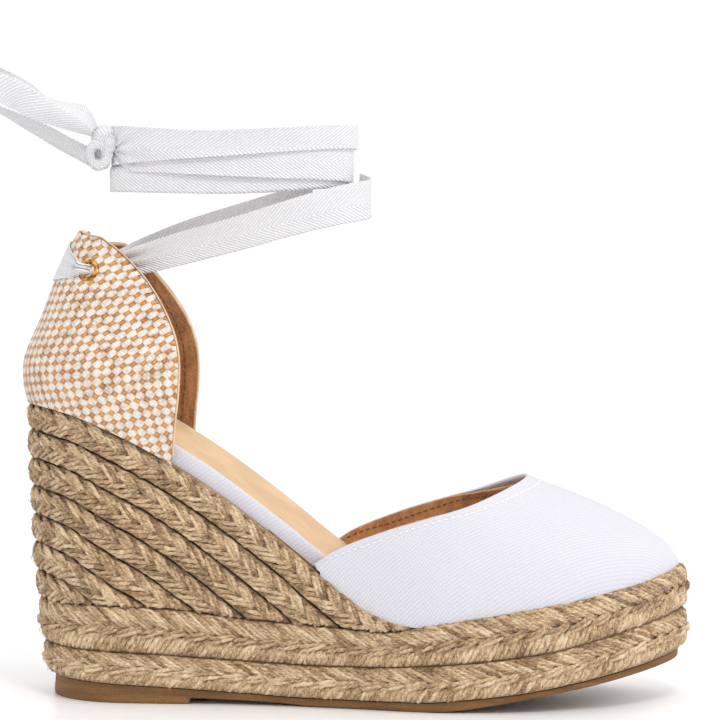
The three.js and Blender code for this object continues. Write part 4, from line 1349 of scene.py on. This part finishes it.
def make_heel_span():
    """Ribbon round the back of the heel and in through both eyelets, gathered at each."""
    def back(s, side):
        z = mix(HEEL_LOOP_Z, EYELET_Z, s * s)
        along = 1 - math.cos(math.pi * s / 2)

        def at(h):
            x = mix(counter_back(h) - HEEL_LOOP_CLEARANCE, EYELET_X, along)
            return np.array([x, side * float(counter_y(x, h, -HEEL_LOOP_CLEARANCE)), h])
        across = at(z + 3) - at(z - 3)
        width = mix(RIBBON_WIDTH, GATHERED_WIDTH, np.clip((s - 0.08) / 0.8, 0, 1))
        return at(z), across / np.linalg.norm(across), width

    def threaded(side):
        centre, normal = eyelet_frame(side)
        rear = unit(np.cross([0, 0, 1.0], normal)) * side
        across = np.cross(normal, rear) * side
        places = [(0, -5.5), (0, -1.5), (0.7, 1.6), (2.6, 2.9)]
        return [(centre + normal * out + rear * behind, across, THREADED_WIDTH)
                for behind, out in places]
    shares = (0.7, 0.52, 0.36, 0.2, 0.06)
    lateral = threaded(LATERAL) + [back(s, LATERAL) for s in shares]
    medial = threaded(MEDIAL) + [back(s, MEDIAL) for s in shares]
    stops = [np.concatenate([at, across, [width]]) for at, across, width in lateral + medial[::-1]]
    path = spline(stops, 170)
    centre, across, width = path[:, :3], unit(path[:, 3:6]), path[:, 6]
    half = across * width[:, None] / 2
    inward = unit(np.array([EYELET_X + 8, 0, 0]) - centre * [1, 1, 0])
    middle = gathered(centre - half, centre + half, 1 - 0.8 * smooth(width, 3.5, 9), inward)
    make_ribbon("ribbon_heel_loop", middle, "shoe", ["ribbon_heel_span"])


def make_tails():
    """The two loose ends: the upper one folded along its length, the lower one turned away."""
    ridge = [(25.5, -6.5, 207.4), (21.2, -9.6, 211.5), (15.7, -10.6, 215), (10.2, -11, 218.3),
             (3.8, -10.6, 222.6), (-2.3, -9.8, 226), (-9, -9.2, 229), (-16.3, -8.8, 232.2)]
    lower = [(25.5, -5.2, 205.2), (19.9, -8.4, 206.9), (12.8, -9.2, 209), (5.7, -9.6, 211.2),
             (-1.3, -9.4, 214.4), (-5, -9.2, 216), (-9, -9, 218), (-16.3, -8.6, 221.6)]
    leaf = [(27.2, -3.5, 208.4), (23.9, -3.4, 214.9), (19.7, -3.6, 216.7), (13.9, -4.6, 217.6),
            (8.4, -6.2, 219.6), (3.2, -7.6, 224.3), (-5, -8.4, 228.8), (-16.3, -8.5, 234)]
    rows = 90
    bottom, fold, top = (spline(points, rows) for points in (lower, ridge, leaf))
    v = np.linspace(0, 1, 11)[:, None]
    front = bottom[:, None] + (fold - bottom)[:, None] * v
    behind = fold[:, None] + (top - fold)[:, None] * v
    bulge = np.sin(np.pi * v) * smooth(bottom[:, 0], -10, 6)[:, None, None]
    front[..., 1] -= 0.8 * bulge[..., 0]
    behind[..., 1] += 0.5 * bulge[..., 0]
    middle = np.concatenate([front, behind[:, 1:]], 1)
    make_ribbon("ribbon_end_upper", middle, "tail_upper", ["ribbon_tail_upper"])

    high = [(24.6, -2.0, 199.4), (18.9, -1.2, 202.2), (11.9, 0.2, 205.8), (4.8, 1.2, 209.3),
            (-2.5, 1.8, 212.3), (-9.2, 2.2, 214.9), (-16.3, 2.4, 217.8)]
    low = [(23.6, 3.4, 191.9), (17.9, 8.2, 194.8), (10.8, 10, 198.4), (3.7, 11.2, 202.6),
           (-3.3, 11.8, 206.8), (-10.2, 12, 211.2), (-16.3, 12.2, 215)]
    fullness = np.linspace(0.8, 0.1, rows)
    middle = gathered(spline(low, rows), spline(high, rows), fullness, folds=1.0)
    make_ribbon("ribbon_end_lower", middle, "tail_lower", ["ribbon_tail_lower"])


def make_knot():
    """Overhand knot: a round loop with a lobe of gathered ribbon above, below and behind it."""
    cloth = Cloth()
    turn = 2 * np.pi * np.arange(56) / 56
    round_it = 2 * np.pi * np.arange(20) / 20
    T, R = np.meshgrid(turn, round_it, indexing="ij")
    pleat = 1 + 0.1 * np.sin(5 * R + 2 * T) + 0.05 * np.sin(11 * R + 3 * T)
    thick = (1.95 + 0.35 * np.sin(T + 0.8)) * pleat
    reach = 3.3 + thick * np.cos(R)
    x = KNOT[0] + 0.2 + 0.95 * reach * np.cos(T)
    z = KNOT[2] - 2.6 + 1.18 * reach * np.sin(T)
    y = KNOT[1] - 3.0 - thick * np.sin(R) + 0.25 * (z - KNOT[2] + 2)
    along = np.arange(57) * 0.42
    coords = woven(np.linspace(-7.8, 7.8, 21), along)
    cloth.grid(np.stack([x, y, z], -1), coords, ring=True, loop=True)
    lobes = [((29.2, -3.2, 205.6), (4.3, 3.2, 3.4), 0.5), ((27.4, -1.2, 195.8), (3.7, 3.4, 2.9), -0.5),
             ((28.8, -1.2, 200.6), (4.2, 3.4, 5.8), 0.2), ((31.6, -4.4, 202.0), (2.8, 3.2, 3.8), 0.3)]
    theta = 2 * np.pi * np.arange(40) / 40
    phi = np.linspace(0.02, np.pi - 0.02, 26)
    TH, PH = np.meshgrid(theta, phi, indexing="ij")
    for centre, radii, tilt in lobes:
        fold = 1 + 0.07 * np.sin(5 * TH + 3 * tilt) * np.sin(PH) + 0.05 * np.sin(9 * TH + 4 * PH)
        direction = np.stack([np.cos(PH) + tilt * np.sin(PH) * np.sin(TH) * 0.4,
                              np.sin(PH) * np.cos(TH), np.sin(PH) * np.sin(TH)], -1)
        points = np.array(centre) + direction * fold[..., None] * np.array(radii)
        points = np.transpose(points, (1, 0, 2))
        around = np.linspace(-7.8, 7.8, 41)
        coords = woven(around, phi * 5)
        cloth.grid(points, coords, ring=True, caps=True)
    cloth.piece("ribbon_knot_tied", "ankle_ribbon", ["ribbon_knot"], "ribbon_cotton", "ribbon",
                sharp=80)


# ---------------------------------------------------------------- the whole scene

def dress_hidden_nodes():
    """The CAD solids inside the shoe keep their shape and take their own finish."""
    finishes = {"platform_core": "cork", "wedge_core": "cork", "insole_board": "board",
                "heel_stiffener": "board", "toe_stiffener": "board"}
    for node, finish in finishes.items():
        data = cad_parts[node].data
        data.materials.clear()
        data.materials.append(MATERIALS[finish])


def make_floor():
    bpy.ops.mesh.primitive_grid_add(x_subdivisions=4, y_subdivisions=4, size=8)
    floor = bpy.context.object
    floor.name = "studio_floor"
    floor.data.materials.append(floor_finish())


make_camera()
make_lights()
make_floor()
dress_hidden_nodes()
make_outsole()
make_platform_plaits()
make_wedge_rows()
make_rand()
make_sock()
make_basket_weave()
make_counter_edge()
make_counter_lining()
make_eyelets()
make_toe()
make_heel_span()
make_runs()
make_wraps()
make_knot()
make_tails()
